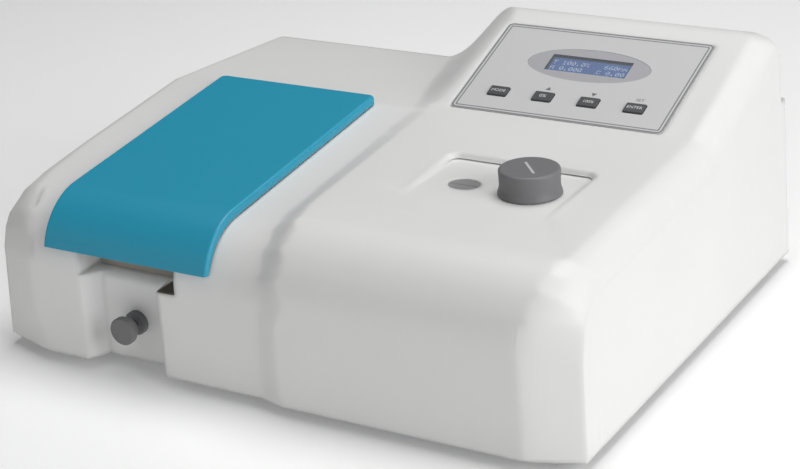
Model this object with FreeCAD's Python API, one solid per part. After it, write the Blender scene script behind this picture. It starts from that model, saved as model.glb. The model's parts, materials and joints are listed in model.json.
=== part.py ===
import FreeCAD, Part
import math
import os
from FreeCAD import Vector

# Visible spectrophotometer, bench type, in millimetres.
# It is drawn from its own front left: x runs to the right from the middle, y runs back from the
# front face, and z runs up from the lower edge of the cover. seat_on_floor() moves each finished
# piece to the part's frame, whose origin is under the middle of the object, on the table.

# Housing: overall form
WIDTH = 460.0
DEPTH = 372.0
FOOT_HEIGHT = 8.0
WALL = 3.0
SIDE_DRAFT = 2.4
REAR_CORNER = 4.0
SMALLEST_ROUND = 1.5
LEFT_EDGE = 8.0
CHAMFER_RIGHT = 36.4
CHAMFER_RIGHT_Y = 13.7
CHAMFER_LEFT = 43.4
CHAMFER_LEFT_Y = 13.7
PLATE_CLEAR = 1.5

# Left deck, which carries the sample lid
DECK_FRONT = 5.1
DECK_BEND = 42.0
DECK_SLOPE = 0.107
DECK_HEIGHT = 111.5
DECK_HEIGHT_AT = 57.0
DECK_CREASE = 228.0
DECK_FALL = -0.063

# Right hump, which carries the wavelength knob and the sloping panel
HUMP_FRONT = 0.0
HUMP_BEND = 45.0
HUMP_SLOPE = 0.0521
HUMP_HEIGHT = 123.0
HUMP_HEIGHT_AT = 56.0
SLOPE_RUN = 137.5
PANEL_SLOPE = 0.3404
CREST_ROUND = 17.0
HUMP_CORNER = 13.0
EDGE_BAND = 19.0
FLANK_DEPTH = 30.0

# Sample compartment
MOUTH_LEFT = -164.0
MOUTH_RIGHT = -50.0
MOUTH_FRONT = 46.0
MOUTH_BACK = 206.0
MOUTH_CORNER = 6.0
LINER_WALL = 2.0
LINER_INSET = 1.0
LINER_FLOOR = 14.0
BEAM_Z = 49.0

# Lid over the sample compartment
LID_LEFT = -175.7
LID_RIGHT = -38.5
LID_BACK = 229.0
LID_LIP = 83.0
LID_FRONT = 0.6
LID_RISE = 7.2
LID_GAP = 1.5
LID_WALL = 2.5
LID_EDGE = 2.4
LID_CORNER = 5.0
SHIELD_GAP = 3.0
SHIELD_WALL = 1.6
SHIELD_DIP = 5.0
SEAL_WIDTH = 4.0
SEAL_SQUEEZE = 0.3

# Lid hinge
HINGE_Y = 226.5
HINGE_RISE = 4.0
HINGE_PIN_RADIUS = 1.0
HINGE_EAR_RADIUS = 1.9
HINGE_EAR_WIDTH = 6.0
HINGE_PIN_LENGTH = 15.0
HINGE_SPACING = 92.0
HINGE_PLATE = 1.2
HINGE_PLATE_LENGTH = 11.0
HINGE_PLATE_GAP = 2.5
HINGE_SLOT_GAP = 3.5
HINGE_LUG_FRONT = 4.5
RUNNING = 0.05
BODY_GAP = 0.3
SEAT = 0.1

# Finger notch and the recess of the pull rod, in the front face
NOTCH_LEFT = -150.0
NOTCH_RIGHT = -68.0
NOTCH_BOTTOM = 64.0
NOTCH_TOP = 88.0
NOTCH_BACK = 28.0
RECESS_LEFT = -150.0
RECESS_RIGHT = -83.0
RECESS_BACK = 20.0
RECESS_DRAFT_LEFT = 9.0
RECESS_DRAFT_RIGHT = 3.0

# Pull rod and the sliding cell carriage
ROD_X = -114.0
ROD_Z = 29.5
ROD_RADIUS = 3.0
PULL_KNOB_RADIUS = 10.0
PULL_KNOB_FRONT = 1.0
PULL_KNOB_LENGTH = 9.0
ROD_BUSH_RADIUS = 8.7
ROD_BUSH_FLANGE = 4.0
ROD_BUSH_NECK = 5.0
CELL = 12.9
CELL_PITCH = 16.0
CELL_COUNT = 4
CELL_FLOOR = 5.0
CELL_WINDOW = 8.0
RACK_WALL = 3.55
RACK_WIDTH = 26.0
RACK_HEIGHT = 38.0
SLED_FRONT = 113.0
SLED_LENGTH = 84.0
SLED_WIDTH = 86.0
SLED_HEIGHT = 11.0
SLED_LIFT = 1.0
SLED_CORNER = 4.0
SLED_RIB = 10.0
RAIL_RADIUS = 2.5
RAIL_SPACING = 68.0
RAIL_LIFT = 6.0
RAIL_END = 4.0
RAIL_PLAY = 0.2

# Wavelength knob, dial and the grating drive
KNOB_X = 140.1
KNOB_Y = 124.0
KNOB_FOOT_RADIUS = 21.6
KNOB_WAIST_RADIUS = 19.8
KNOB_TOP_RADIUS = 20.6
KNOB_HEIGHT = 17.4
KNOB_GAP = 0.6
SHAFT_RADIUS = 3.0
TRAY_LEFT = KNOB_X - 80.1
TRAY_RIGHT = KNOB_X + 31.9
TRAY_BACK = 164.0
TRAY_FLOOR = 124.6
TRAY_CORNER = 9.0
TRAY_PAD = 5.0
TRAY_LEAN = 0.7
TRAY_ROUND = 2.0
WINDOW_X = KNOB_X - 47.6
WINDOW_Y = 121.5
WINDOW_LONG = 11.5
WINDOW_SHORT = 9.5
DIAL_SIDE = 29.9
DIAL_TOP = 113.5
DIAL_THICKNESS = 1.5
WINDOW_FLANGE = 1.2
WINDOW_LAP = 1.5
WINDOW_SUNK = 0.4
GEAR_MODULE = 0.8
PINION_TEETH = 12
SECTOR_TEETH_FULL = 144
SECTOR_TEETH = 15
GEAR_WIDTH = 4.0
GEAR_BACKLASH = 0.35
SPINDLE_RADIUS = 4.0

# Optical bench and monochromator
BENCH_TOP = 14.0
BENCH_THICKNESS = 6.0
BENCH_CORNER = 8.0
PILLAR_RADIUS = 6.0
PILLAR_INSET = 14.0
MONO_LEFT = -38.0
MONO_RIGHT = 118.0
MONO_FRONT = 42.0
MONO_BACK = 206.0
MONO_HEIGHT = 70.0
MONO_WALL = 4.0
MONO_LID = 3.0
MONO_CORNER = 6.0
ENTRY_X = -5.0
BEAM_HOLE = 5.0
SLIT_HALF = 0.5
SLIT_PLATE = 1.0
SLIT_PLATE_HALF = 10.0

# Control panel, drawn flat and then laid on the slope
PANEL_WIDTH = 165.3
PANEL_LENGTH = 105.0
PANEL_CENTRE_X = 101.85
PANEL_BACK = 51.0
PANEL_SINK = 1.5
PANEL_PROUD = 0.5
PANEL_CORNER = 3.0
PANEL_LEDGE = 7.0
DISPLAY_LONG = 97.0
DISPLAY_SHORT = 38.0
DISPLAY_CENTRE_V = 12.0
LCD_WIDTH = 62.0
LCD_HEIGHT = 17.0
KEY_WIDTH = 15.0
KEY_LENGTH = 10.0
KEY_PITCH = 35.7
KEY_V = -29.5
KEY_PROUD = 1.4
KEY_TRAVEL = 1.0
KEY_COUNT = 4
BOARD_DROP = 9.0
PILLAR_THIN = 2.2
PILLAR_U = 45.0
PILLAR_V = 15.0
KEY_FLANGE = 1.2
KEY_STEM = 1.5
KEY_BOARD_HALF = 9.0
PLUNGER = 0.8
LCD_BOARD_HALF = 49.0
LCD_FRAME = 5.0
BOARD = 1.6

# Base plate, feet and electrical pieces
PLATE_Z = 3.0
PLATE = 1.5
FOOT_RADIUS = 11.0
FOOT_TAPER = 2.0
FOOT_SIDE = 24.0
FOOT_FRONT = 35.0
FOOT_BEHIND = 36.0
SCREW_RADIUS = 2.0
SCREW_HEAD = 4.0
SCREW_HEAD_ROOM = 0.5
SCREW_SLOT = 1.0
SCREW_SLOT_DEPTH = 1.2
REAR_SIDE = 24.0
REAR_WIDTH = 144.0
REAR_BOTTOM = 16.0
REAR_TOP = 86.0
REAR_LAP = 6.0
REAR_PLATE = 2.0
SOCKET_IN = 38.0
SOCKET_Z = 38.0
SOCKET_HALF_X = 13.6
SOCKET_HALF_Z = 9.9
SOCKET_PLAY = 0.4
SWITCH_HALF_X = 6.5
SWITCH_HALF_Z = 10.0
FUSE_RADIUS = 5.9
SWITCH_IN = 88.0
FUSE_IN = 118.0
SWITCH_TILT = 7.0
FLANGE = 2.2

# Boards, lamp, transformer and other inner pieces
MAIN_BOARD_SIDE = 18.0
MAIN_BOARD_WIDTH = 40.0
MAIN_BOARD_FRONT = 48.0
MAIN_BOARD_BACK = 196.0
POWER_BOARD_LEFT = 52.0
POWER_BOARD_RIGHT = 190.0
POWER_BOARD_FRONT = 214.0
POWER_BOARD_BACK = 240.0
BOARD_EDGE = 6.0
STANDOFF = 8.0
STANDOFF_RADIUS = 3.0
TRANSFORMER_LEFT = 100.0
TRANSFORMER_RIGHT = 176.0
TRANSFORMER_LENGTH = 62.0
TRANSFORMER_BEHIND = 30.0
TRANSFORMER_HEIGHT = 64.0
COIL_OVERHANG = 10.0
COIL_PLAY = 0.8
COIL_CORNER = 4.0
LAMP_LEFT = -40.0
LAMP_RIGHT = 30.0
LAMP_FRONT = 222.0
LAMP_BACK = 296.0
LAMP_TOP = 92.0
LAMP_DROP = 12.0
LAMP_PIN = 0.6
LAMP_PIN_X = 3.2
LAMP_WALL = 1.5
AIR_SLOTS = 6
AIR_SLOT = 4.0
AIR_PITCH = 10.5
AIR_START = 8.0
REAR_SLOTS = 10
REAR_SLOT = 5.0
REAR_SLOT_PITCH = 12.0
REAR_SLOT_START = 14.0
REAR_SLOT_LENGTH = 18.0
REAR_SLOT_DROP = 8.0
BENCH_LEFT = -201.0
BENCH_RIGHT = 148.5
BENCH_FRONT = 42.0
BENCH_BACK = 212.0
DETECTOR_DEPTH = 34.0
DETECTOR_HALF = 20.0
DETECTOR_WALL = 2.5
DETECTOR_BOARD_IN = 4.0
GRATING = 36.0
GRATING_TURN = 35.0
GEAR_LIFT = 4.0
MIRROR_RADIUS = 15.0
MIRROR_THICKNESS = 6.0
MIRROR_SET_BACK = 20.0
MIRROR_FOCUS = 120.0
MIRROR_HOLLOW = 1.2
MIRROR_PLATE = 4.0
COLLIMATOR_TURN = 22.0
FOCUS_MIRROR_TURN = 80.0
FOCUS_MIRROR_BEHIND = 34.0
TUBE_RADIUS = 10.0
TUBE_WALL = 2.0
LENS_CURVE = 22.0
LENS_RIM = 1.5
ROD_LUG = 12.0
LUG_HALF = 8.0
LUG_DROP = 2.2
RACK_OFFSET = 2.0
RACK_FOOT = 5.0
BUSH_NECK_RADIUS = 5.0
BOSS_RADIUS = 6.0
BOSS_HEIGHT = 26.0
SCREW_DEPTH = 20.0
SCREW_HEAD_HEIGHT = 2.6
FOOT_WELL = 5.0
LEDGE_ROUND = 6.0
TRAY_FRONT = 74.0
DECK_STRIP_RIGHT = 20.0
KNOB_INDEX = 131.0
INDEX_WIDTH = 1.3
INDEX_DEPTH = 0.5
KNOB_BOSS_LIFT = 3.2
KEY_GAP = 0.4
LCD_THICKNESS = 6.0
SWITCH_HEIGHT = 2.5
ROCKER_REACH = 7.5
ROCKER_HALF = 7.6
ROCKER_WIDTH = 10.0

X = Vector(1, 0, 0)
Y = Vector(0, 1, 0)
Z = Vector(0, 0, 1)


def seat_on_floor(shape):
    """Moves a piece from the frame it is drawn in to the part's own frame."""
    return shape.translated(Vector(0, -DEPTH / 2, FOOT_HEIGHT))


def box(x0, x1, y0, y1, z0, z1):
    return Part.makeBox(x1 - x0, y1 - y0, z1 - z0, Vector(x0, y0, z0))


def rod(x, y, z, radius, length, axis=Z):
    return Part.makeCylinder(radius, length, Vector(x, y, z), axis)


def fused(shapes):
    """One solid from several that touch or overlap."""
    return shapes[0].multiFuse(shapes[1:]).removeSplitter().Solids[0]


def without(shape, cuts):
    """What is left of a solid when the cuts are taken out of it."""
    return shape.cut(Part.makeCompound(cuts)).Solids[0]


def round_edges(shape, radius, wanted):
    """Rounds the edges for which wanted(edge) is true."""
    return shape.makeFillet(radius, [edge for edge in shape.Edges if wanted(edge)])


def upright(edge):
    """True for a straight edge that runs along z."""
    if not isinstance(edge.Curve, Part.Line):
        return False
    return abs(edge.Curve.Direction.z) > 0.99


def rounded_box(x0, x1, y0, y1, z0, z1, radius):
    """A block with its four upright edges rounded."""
    return round_edges(box(x0, x1, y0, y1, z0, z1), radius, upright)


class Profile:
    """The side profile of a moulded form: front wall, bend, first slope, crease and second slope."""

    def __init__(self, front, bend, slope, height, height_at, crease, slope2, back, crest=0.0):
        self.front = front
        self.bend = bend
        self.slope = slope
        self.height = height
        self.height_at = height_at
        self.crease = crease
        self.slope2 = slope2
        self.back = back
        self.crest = crest
        self.bend_y = front + bend
        at_bend = height + slope * (self.bend_y - height_at)
        self.bend_z = at_bend - bend * math.hypot(1, slope)

    def first(self, y, inset=0.0):
        """Height of the first slope, inset square to it."""
        return self.height + self.slope * (y - self.height_at) - inset * math.hypot(1, self.slope)

    def second(self, y, inset=0.0):
        """Height of the second slope, inset square to it."""
        return self.first(self.crease) + self.slope2 * (y - self.crease) - inset * math.hypot(1, self.slope2)

    def crease_y(self, inset):
        """Where the two slopes meet once both are inset."""
        shift = inset * (math.hypot(1, self.slope2) - math.hypot(1, self.slope))
        return self.crease + shift / (self.slope2 - self.slope)

    def top(self, y, inset=0.0):
        return self.first(y, inset) if y < self.crease_y(inset) else self.second(y, inset)

    def solid(self, x0, x1, bottom, inset=0.0):
        """The profile inset by a wall and drawn out from x0 to x1."""
        radius = self.bend - inset
        lean = math.atan(self.slope)
        middle = (math.pi + math.pi / 2 + lean) / 2

        def at(angle):
            return Vector(x0, self.bend_y + radius * math.cos(angle), self.bend_z + radius * math.sin(angle))

        low = Vector(x0, self.front + inset, bottom)
        start = at(math.pi)
        end = at(math.pi / 2 + lean)
        crease = Vector(x0, self.crease_y(inset), self.first(self.crease_y(inset), inset))
        back = self.back - inset
        edges = [
            Part.makeLine(low, start),
            Part.Arc(start, at(middle), end).toShape(),
            Part.makeLine(end, crease),
        ]
        if self.crest:
            crest = max(self.crest - inset, 2.0)
            lean2 = math.atan(self.slope2)
            centre_y = back - crest
            centre_z = self.second(centre_y, inset) - crest * math.hypot(1, self.slope2)

            def on_crest(angle):
                return Vector(x0, centre_y + crest * math.cos(angle), centre_z + crest * math.sin(angle))

            tip = on_crest(math.pi / 2 + lean2)
            edges.append(Part.makeLine(crease, tip))
            edges.append(Part.Arc(tip, on_crest((math.pi / 2 + lean2) / 2), on_crest(0)).toShape())
            last = on_crest(0)
        else:
            last = Vector(x0, back, self.second(back, inset))
            edges.append(Part.makeLine(crease, last))
        foot = Vector(x0, back, bottom)
        edges.append(Part.makeLine(last, foot))
        edges.append(Part.makeLine(foot, low))
        return Part.Face(Part.Wire(edges)).extrude(Vector(x1 - x0, 0, 0))


HUMP_CREASE = DEPTH - SLOPE_RUN
DECK = Profile(DECK_FRONT, DECK_BEND, DECK_SLOPE, DECK_HEIGHT, DECK_HEIGHT_AT,
               DECK_CREASE, DECK_FALL, DEPTH)
HUMP = Profile(HUMP_FRONT, HUMP_BEND, HUMP_SLOPE, HUMP_HEIGHT, HUMP_HEIGHT_AT,
               HUMP_CREASE, PANEL_SLOPE, DEPTH, CREST_ROUND)
FORM_TOP = HUMP.second(DEPTH) + CREST_ROUND


def side_x(z, inset=0.0):
    """How far the drafted side wall stands from the middle at a height."""
    return WIDTH / 2 - z * math.tan(math.radians(SIDE_DRAFT)) - inset


def plan_form(inset, bottom, top, corner=REAR_CORNER):
    """The drafted outline seen from above."""
    ahead = 12.0

    def outline(z):
        side = side_x(z, inset)
        back = DEPTH - inset
        points = [Vector(side, -ahead, z), Vector(side, back, z), Vector(-side, back, z),
                  Vector(-side, -ahead, z)]
        return Part.makePolygon(points + points[:1])

    form = Part.makeLoft([outline(bottom), outline(top)], True, True)

    def rear_corner(edge):
        centre = edge.CenterOfMass
        return centre.y > DEPTH - 2 * WALL - 1 and abs(centre.x) > side_x(top) - 2 * WALL - 1

    if corner - inset < SMALLEST_ROUND:
        return form
    return round_edges(form, corner - inset, rear_corner)


def plate_corners(inset, top):
    """What the sheet floor loses at its two front corners, to clear the chamfers of the cover."""
    cuts = []
    for hand, wide, deep, front in ((1, CHAMFER_RIGHT, CHAMFER_RIGHT_Y, HUMP_FRONT),
                                    (-1, CHAMFER_LEFT, CHAMFER_LEFT_Y, DECK_FRONT)):
        start = WIDTH / 2 - wide
        line = front + PLATE_CLEAR + inset * math.hypot(1, deep / wide)
        points = [Vector(hand * (start - wide), line - deep, 0),
                  Vector(hand * (start + 2 * wide), line + 2 * deep, 0),
                  Vector(hand * (start + 2 * wide), -wide, 0), Vector(hand * (start - wide), -wide, 0)]
        cuts.append(Part.Face(Part.makePolygon(points + points[:1])).extrude(Z * top))
    return cuts


def hump_flank(inset):
    """A body whose left side is the hump's flank: a soft S from the deck up to the hump's top."""
    sections = []
    over = 1.0
    run = 9.0
    side = WIDTH / 2 + 90

    def section(origin, out, rise, foot, top):
        foot += inset * 1.3
        top += inset * 1.3

        def at(x, height):
            return origin + X * x + out * height

        poles = [at(foot - run, -over), at(foot + 0.35 * (top - foot), 0.02 * rise),
                 at(top - 0.42 * (top - foot), 0.98 * rise), at(top + run, rise + over)]
        curve = Part.BezierCurve()
        curve.setPoles(poles)
        high = at(side, rise + 40)
        low = at(side, -FLANK_DEPTH)
        near = at(foot - run, -FLANK_DEPTH)
        sections.append(Part.Wire([curve.toShape(), Part.makeLine(poles[3], high), Part.makeLine(high, low),
                                   Part.makeLine(low, near), Part.makeLine(near, poles[0])]))

    for z in (-10.0, 60.0):
        section(Vector(0, DECK.front + inset, z), -Y, DECK.front - HUMP.front, -2.0, 15.0)
    centre = Vector(0, DECK.bend_y, DECK.bend_z)
    offset = centre - Vector(0, HUMP.bend_y, HUMP.bend_z)
    for turn, foot, top in ((25, -1.0, 14.0), (50, -1.0, 13.0), (75, -3.0, 12.0)):
        out = Vector(0, -math.cos(math.radians(turn)), math.sin(math.radians(turn)))
        along = offset.dot(out)
        reach = math.sqrt(along ** 2 - offset.dot(offset) + (HUMP.bend - inset) ** 2) - along
        section(centre + out * (DECK.bend - inset), out, reach - (DECK.bend - inset), foot, top)
    start = max(DECK.bend_y, HUMP.bend_y) + 11
    behind = DEPTH + 8
    places = [(start, -6.0, 10.0), ((start + DECK_CREASE) / 2, -6.5, 8.5), (DECK_CREASE, -9.0, 9.0)]
    places += [(DECK_CREASE + share * (behind - DECK_CREASE), foot, top) for share, foot, top in
               ((0.08, -11.0, 10.0), (0.41, -27.0, 12.0), (0.74, -43.0, 15.0), (1.0, -56.0, 18.0))]
    for y, foot, top in places:
        deck = DECK.top(y, inset)
        section(Vector(0, y, deck), Z, HUMP.top(y, inset) - deck, foot, top)
    return Part.makeLoft(sections, True, True)


def band_section(origin, out, side, inset, width, depth, soft):
    """One section of what an edge loses: a flat chamfer where soft is 0, a round edge where it is 1."""
    hand = math.copysign(1, side)
    bevel = math.atan(depth / width)
    width -= inset * (1 - math.tan(bevel / 2))
    depth -= inset * (1 - math.tan(math.pi / 4 - bevel / 2))

    def at(inward, height):
        return origin + X * (side - hand * inward) + out * height

    low = -depth - 2 * soft - (1 - soft) * depth / width
    poles = [at(width + 6, 0.5), at((0.92 - 0.47 * soft) * width, -0.2),
             at(0.45 * width * (1 - soft) - 0.2 * soft, (0.10 * soft - 0.55) * depth),
             at(0.2 * soft - 1, low)]
    curve = Part.BezierCurve()
    curve.setPoles(poles)
    far = at(-WIDTH / 2, low)
    high = at(-WIDTH / 2, 40)
    near = at(width + 6, 40)
    return Part.Wire([curve.toShape(), Part.makeLine(poles[3], far), Part.makeLine(far, high),
                      Part.makeLine(high, near), Part.makeLine(near, poles[0])])


def nose_sections(profile, hand, inset, walls, turns):
    """The sections of an edge band up the front wall and round the bend of a profile."""
    sections = []
    for z, width, depth, soft in walls:
        origin = Vector(0, profile.front + inset, z)
        sections.append(band_section(origin, -Y, hand * side_x(z, inset), inset, width, depth, soft))
    for turn, width, depth, soft in turns:
        out = Vector(0, -math.cos(math.radians(turn)), math.sin(math.radians(turn)))
        origin = Vector(0, profile.bend_y, profile.bend_z) + out * (profile.bend - inset)
        sections.append(band_section(origin, out, hand * side_x(origin.z, inset), inset, width, depth, soft))
    return sections


def right_band(inset):
    """What is taken off the hump's right edge: a chamfer up the front that turns into a soft round."""
    lean = math.atan(HUMP.slope)
    walls = ((-30.0, CHAMFER_RIGHT, CHAMFER_RIGHT_Y, 0.0), (0.0, CHAMFER_RIGHT, CHAMFER_RIGHT_Y, 0.0),
             (HUMP.bend_z - 11, 33.0, 16.2, 0.0))
    turns = ((22, 28.0, 19.5, 0.1), (45, 23.0, 20.5, 0.35), (66, 21.5, 19.5, 0.65),
             (90 - math.degrees(lean), EDGE_BAND, EDGE_BAND, 0.9))
    sections = nose_sections(HUMP, 1, inset, walls, turns)
    crease = HUMP.crease_y(inset)
    lean2 = math.atan(HUMP.slope2)
    half = (lean + lean2) / 2
    sections.append(band_section(Vector(0, crease, HUMP.first(crease, inset)),
                                 Vector(0, -math.sin(half), math.cos(half)),
                                 side_x(HUMP.first(crease), inset), inset, EDGE_BAND, EDGE_BAND, 1.0))
    crest = HUMP.crest - inset
    centre_y = HUMP.back - inset - crest
    centre = Vector(0, centre_y, HUMP.second(centre_y, inset) - crest * math.hypot(1, HUMP.slope2))
    start = 90 + math.degrees(lean2)
    low = DECK.second(HUMP.back) - 0.5
    for turn in (start, start * 0.66, start * 0.33, 0):
        out = Vector(0, math.cos(math.radians(turn)), math.sin(math.radians(turn)))
        origin = centre + out * crest
        sections.append(band_section(origin, out, side_x(origin.z, inset), inset,
                                     EDGE_BAND, 0.75 * HUMP.crest, 1.0))
    sections.append(band_section(Vector(0, centre.y + crest, low), Y, side_x(low, inset), inset,
                                 EDGE_BAND, 0.75 * HUMP.crest, 1.0))
    return Part.makeLoft(sections, True, True)


def left_band(inset):
    """What is taken off the deck's left edge: a chamfer up the front that narrows to a small round."""
    lean = math.atan(DECK.slope)
    walls = ((-30.0, CHAMFER_LEFT, CHAMFER_LEFT_Y, 0.0), (0.0, CHAMFER_LEFT, CHAMFER_LEFT_Y, 0.0),
             (0.5 * DECK.bend_z, 34.0, 14.0, 0.0), (DECK.bend_z, 33.0, 14.4, 0.0))
    turns = ((29, 30.5, 14.0, 0.15), (50, 26.0, 12.5, 0.3), (90 - math.degrees(lean), 18.0, 10.0, 0.6))
    sections = nose_sections(DECK, -1, inset, walls, turns)
    along_top = ((DECK.bend_y + 20, LEFT_EDGE + 4.5, 0.8), (DECK.bend_y + 65, LEFT_EDGE + 1, 1.0),
                 (DECK_CREASE, LEFT_EDGE, 1.0), (DEPTH + 8, LEFT_EDGE, 1.0))
    for y, width, soft in along_top:
        top = DECK.top(y, inset)
        side = -side_x(top, inset)
        sections.append(band_section(Vector(0, y, top), Z, side, inset, width, LEFT_EDGE, soft))
    return Part.makeLoft(sections, True, True)


def housing_form(inset, bottom):
    """The whole moulded form, inset by a wall: the deck, the hump with its flank, and the soft edges."""
    plan = plan_form(inset, bottom - 5, FORM_TOP)
    deck = DECK.solid(-WIDTH, WIDTH, bottom, inset).common(plan)
    deck = without(deck.Solids[0], [left_band(inset)])
    own_plan = plan_form(inset, bottom - 5, FORM_TOP, HUMP_CORNER)
    hump = HUMP.solid(-WIDTH, WIDTH, bottom, inset).common(hump_flank(inset)).common(own_plan)
    return without(fused([deck, hump]), [right_band(inset)])


LID = Profile(LID_FRONT, DECK_FRONT + DECK_BEND - LID_FRONT, DECK_SLOPE, DECK_HEIGHT + LID_RISE,
              DECK_HEIGHT_AT, DECK_CREASE + WIDTH, DECK_FALL, DEPTH + WIDTH)
PANEL_CENTRE_Y = HUMP_CREASE + PANEL_BACK
REAR_RIGHT = WIDTH / 2 - REAR_SIDE
REAR_LEFT = REAR_RIGHT - REAR_WIDTH
SOCKET_X = REAR_RIGHT - SOCKET_IN
SWITCH_X = REAR_RIGHT - SWITCH_IN
FUSE_X = REAR_RIGHT - FUSE_IN
LID_MIDDLE = (LID_LEFT + LID_RIGHT) / 2
HINGE_Z = DECK.top(HINGE_Y) + HINGE_RISE
HINGES = (LID_MIDDLE - HINGE_SPACING / 2, LID_MIDDLE + HINGE_SPACING / 2)
LINER_TOP = LINER_FLOOR + LINER_WALL
SLED_Z = LINER_TOP + SLED_LIFT
SLED_TOP = SLED_Z + SLED_HEIGHT
RAIL_Z = LINER_TOP + RAIL_LIFT
RACK_FRONT = SLED_FRONT + ROD_LUG + RACK_OFFSET
RACK_LENGTH = (CELL_COUNT - 1) * CELL_PITCH + CELL + 2 * RACK_WALL
BEAM_Y = RACK_FRONT + RACK_WALL + CELL / 2
KNOB_Z = TRAY_FLOOR + KNOB_GAP
PAD_Z = TRAY_FLOOR - TRAY_PAD
MONO_TOP = BENCH_TOP + MONO_HEIGHT
GEAR_Z = MONO_TOP + MONO_LID + GEAR_LIFT
DIAL_RADIUS = WIDTH / 2 - KNOB_X - DIAL_SIDE
SPINDLE_X = KNOB_X - GEAR_MODULE * (PINION_TEETH + SECTOR_TEETH_FULL) / 2
PLATE_TOP = PLATE_Z + PLATE
BOARD_Z = PLATE_TOP + STANDOFF
PANEL_UNDER = -PANEL_SINK
BOARD_N = PANEL_UNDER - BOARD_DROP
KEY_TOP = PANEL_PROUD + KEY_PROUD


def on_panel(shape):
    """Lays a piece that was drawn flat on the sloping panel; its own z is the distance out of it."""
    laid = shape.copy()
    laid.rotate(Vector(), X, math.degrees(math.atan(PANEL_SLOPE)))
    return laid.translated(Vector(PANEL_CENTRE_X, PANEL_CENTRE_Y, HUMP.second(PANEL_CENTRE_Y)))


def ellipse_plate(x, y, z, half_long, half_short, height):
    """A plate with an elliptical outline, its long axis along x."""
    outline = Part.Ellipse(Vector(x, y, z), half_long, half_short).toShape()
    return Part.Face(Part.Wire([outline])).extrude(Vector(0, 0, height))


def deck_layer(x0, x1, y0, y1, low, high):
    """The part of a layer over the deck, from low to high above its surface, within a rectangle."""
    layer = DECK.solid(x0, x1, DECK_HEIGHT / 2, -high).cut(DECK.solid(x0 - 1, x1 + 1, 0, -low))
    return layer.common(box(x0, x1, y0, y1, DECK_HEIGHT / 2 + 1, 2 * DECK_HEIGHT))


def key_u(number):
    """Place of a key along the panel, from its middle."""
    return (number - (KEY_COUNT - 1) / 2) * KEY_PITCH


def cell_y(number):
    return BEAM_Y + number * CELL_PITCH


def feet_places():
    side = WIDTH / 2 - FOOT_SIDE
    return [(x, y) for x in (-side, side) for y in (FOOT_FRONT, DEPTH - FOOT_BEHIND)]


def recess_form(extra):
    """The recess of the pull rod, wider at its mouth, grown by a wall where extra is given."""
    run = RECESS_BACK + extra - DECK_FRONT
    left_draft = RECESS_DRAFT_LEFT / (RECESS_BACK - DECK_FRONT)
    right_draft = RECESS_DRAFT_RIGHT / (RECESS_BACK - DECK_FRONT)
    front = DECK_FRONT if extra else HUMP_FRONT - 1
    ahead = DECK_FRONT - front
    bottom = 0.0 if extra else -6.0
    top = NOTCH_BOTTOM

    def outline(y, gone):
        left = RECESS_LEFT - extra + gone * left_draft
        right = RECESS_RIGHT + extra - gone * right_draft
        points = [Vector(left, y, bottom), Vector(right, y, bottom),
                  Vector(right, y, top), Vector(left, y, top)]
        return Part.makePolygon(points + points[:1])

    return Part.makeLoft([outline(front, -ahead), outline(RECESS_BACK + extra, run)], True, True)


def front_hollow():
    """The finger notch and the recess below it as one hollow, with the ledge between them rounded over."""
    notch = box(NOTCH_LEFT, NOTCH_RIGHT, HUMP_FRONT - 1, NOTCH_BACK, NOTCH_BOTTOM, NOTCH_TOP)
    hollow = fused([notch, recess_form(0.0)])

    def ledge(edge):
        middle = edge.CenterOfMass
        return abs(middle.y - RECESS_BACK) < 0.1 and abs(middle.z - NOTCH_BOTTOM) < 0.1

    return round_edges(hollow, LEDGE_ROUND, ledge)


def rounded_outline(x0, x1, y0, y1, z, radius):
    """A rectangle with rounded corners at a height, as a wire."""
    face = rounded_box(x0, x1, y0, y1, z, z + 1, radius).Faces
    lowest = min(face, key=lambda one: one.CenterOfMass.z)
    return lowest.OuterWire


def tray_hollow():
    """The sunk tray round the knob: its walls lean outwards, and it fades out where the top slopes down."""
    rise = HUMP.first(TRAY_BACK) - TRAY_FLOOR
    outlines = []
    for z in (TRAY_FLOOR, TRAY_FLOOR + 4 * rise):
        grow = (z - TRAY_FLOOR - rise) * TRAY_LEAN
        outlines.append(rounded_outline(TRAY_LEFT - grow, TRAY_RIGHT + grow, TRAY_FRONT - grow,
                                        TRAY_BACK + grow, z, TRAY_CORNER + grow))
    hollow = Part.makeLoft(outlines, True, True)
    return round_edges(hollow, TRAY_ROUND, lambda edge: abs(edge.CenterOfMass.z - TRAY_FLOOR) < 0.01)


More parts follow.
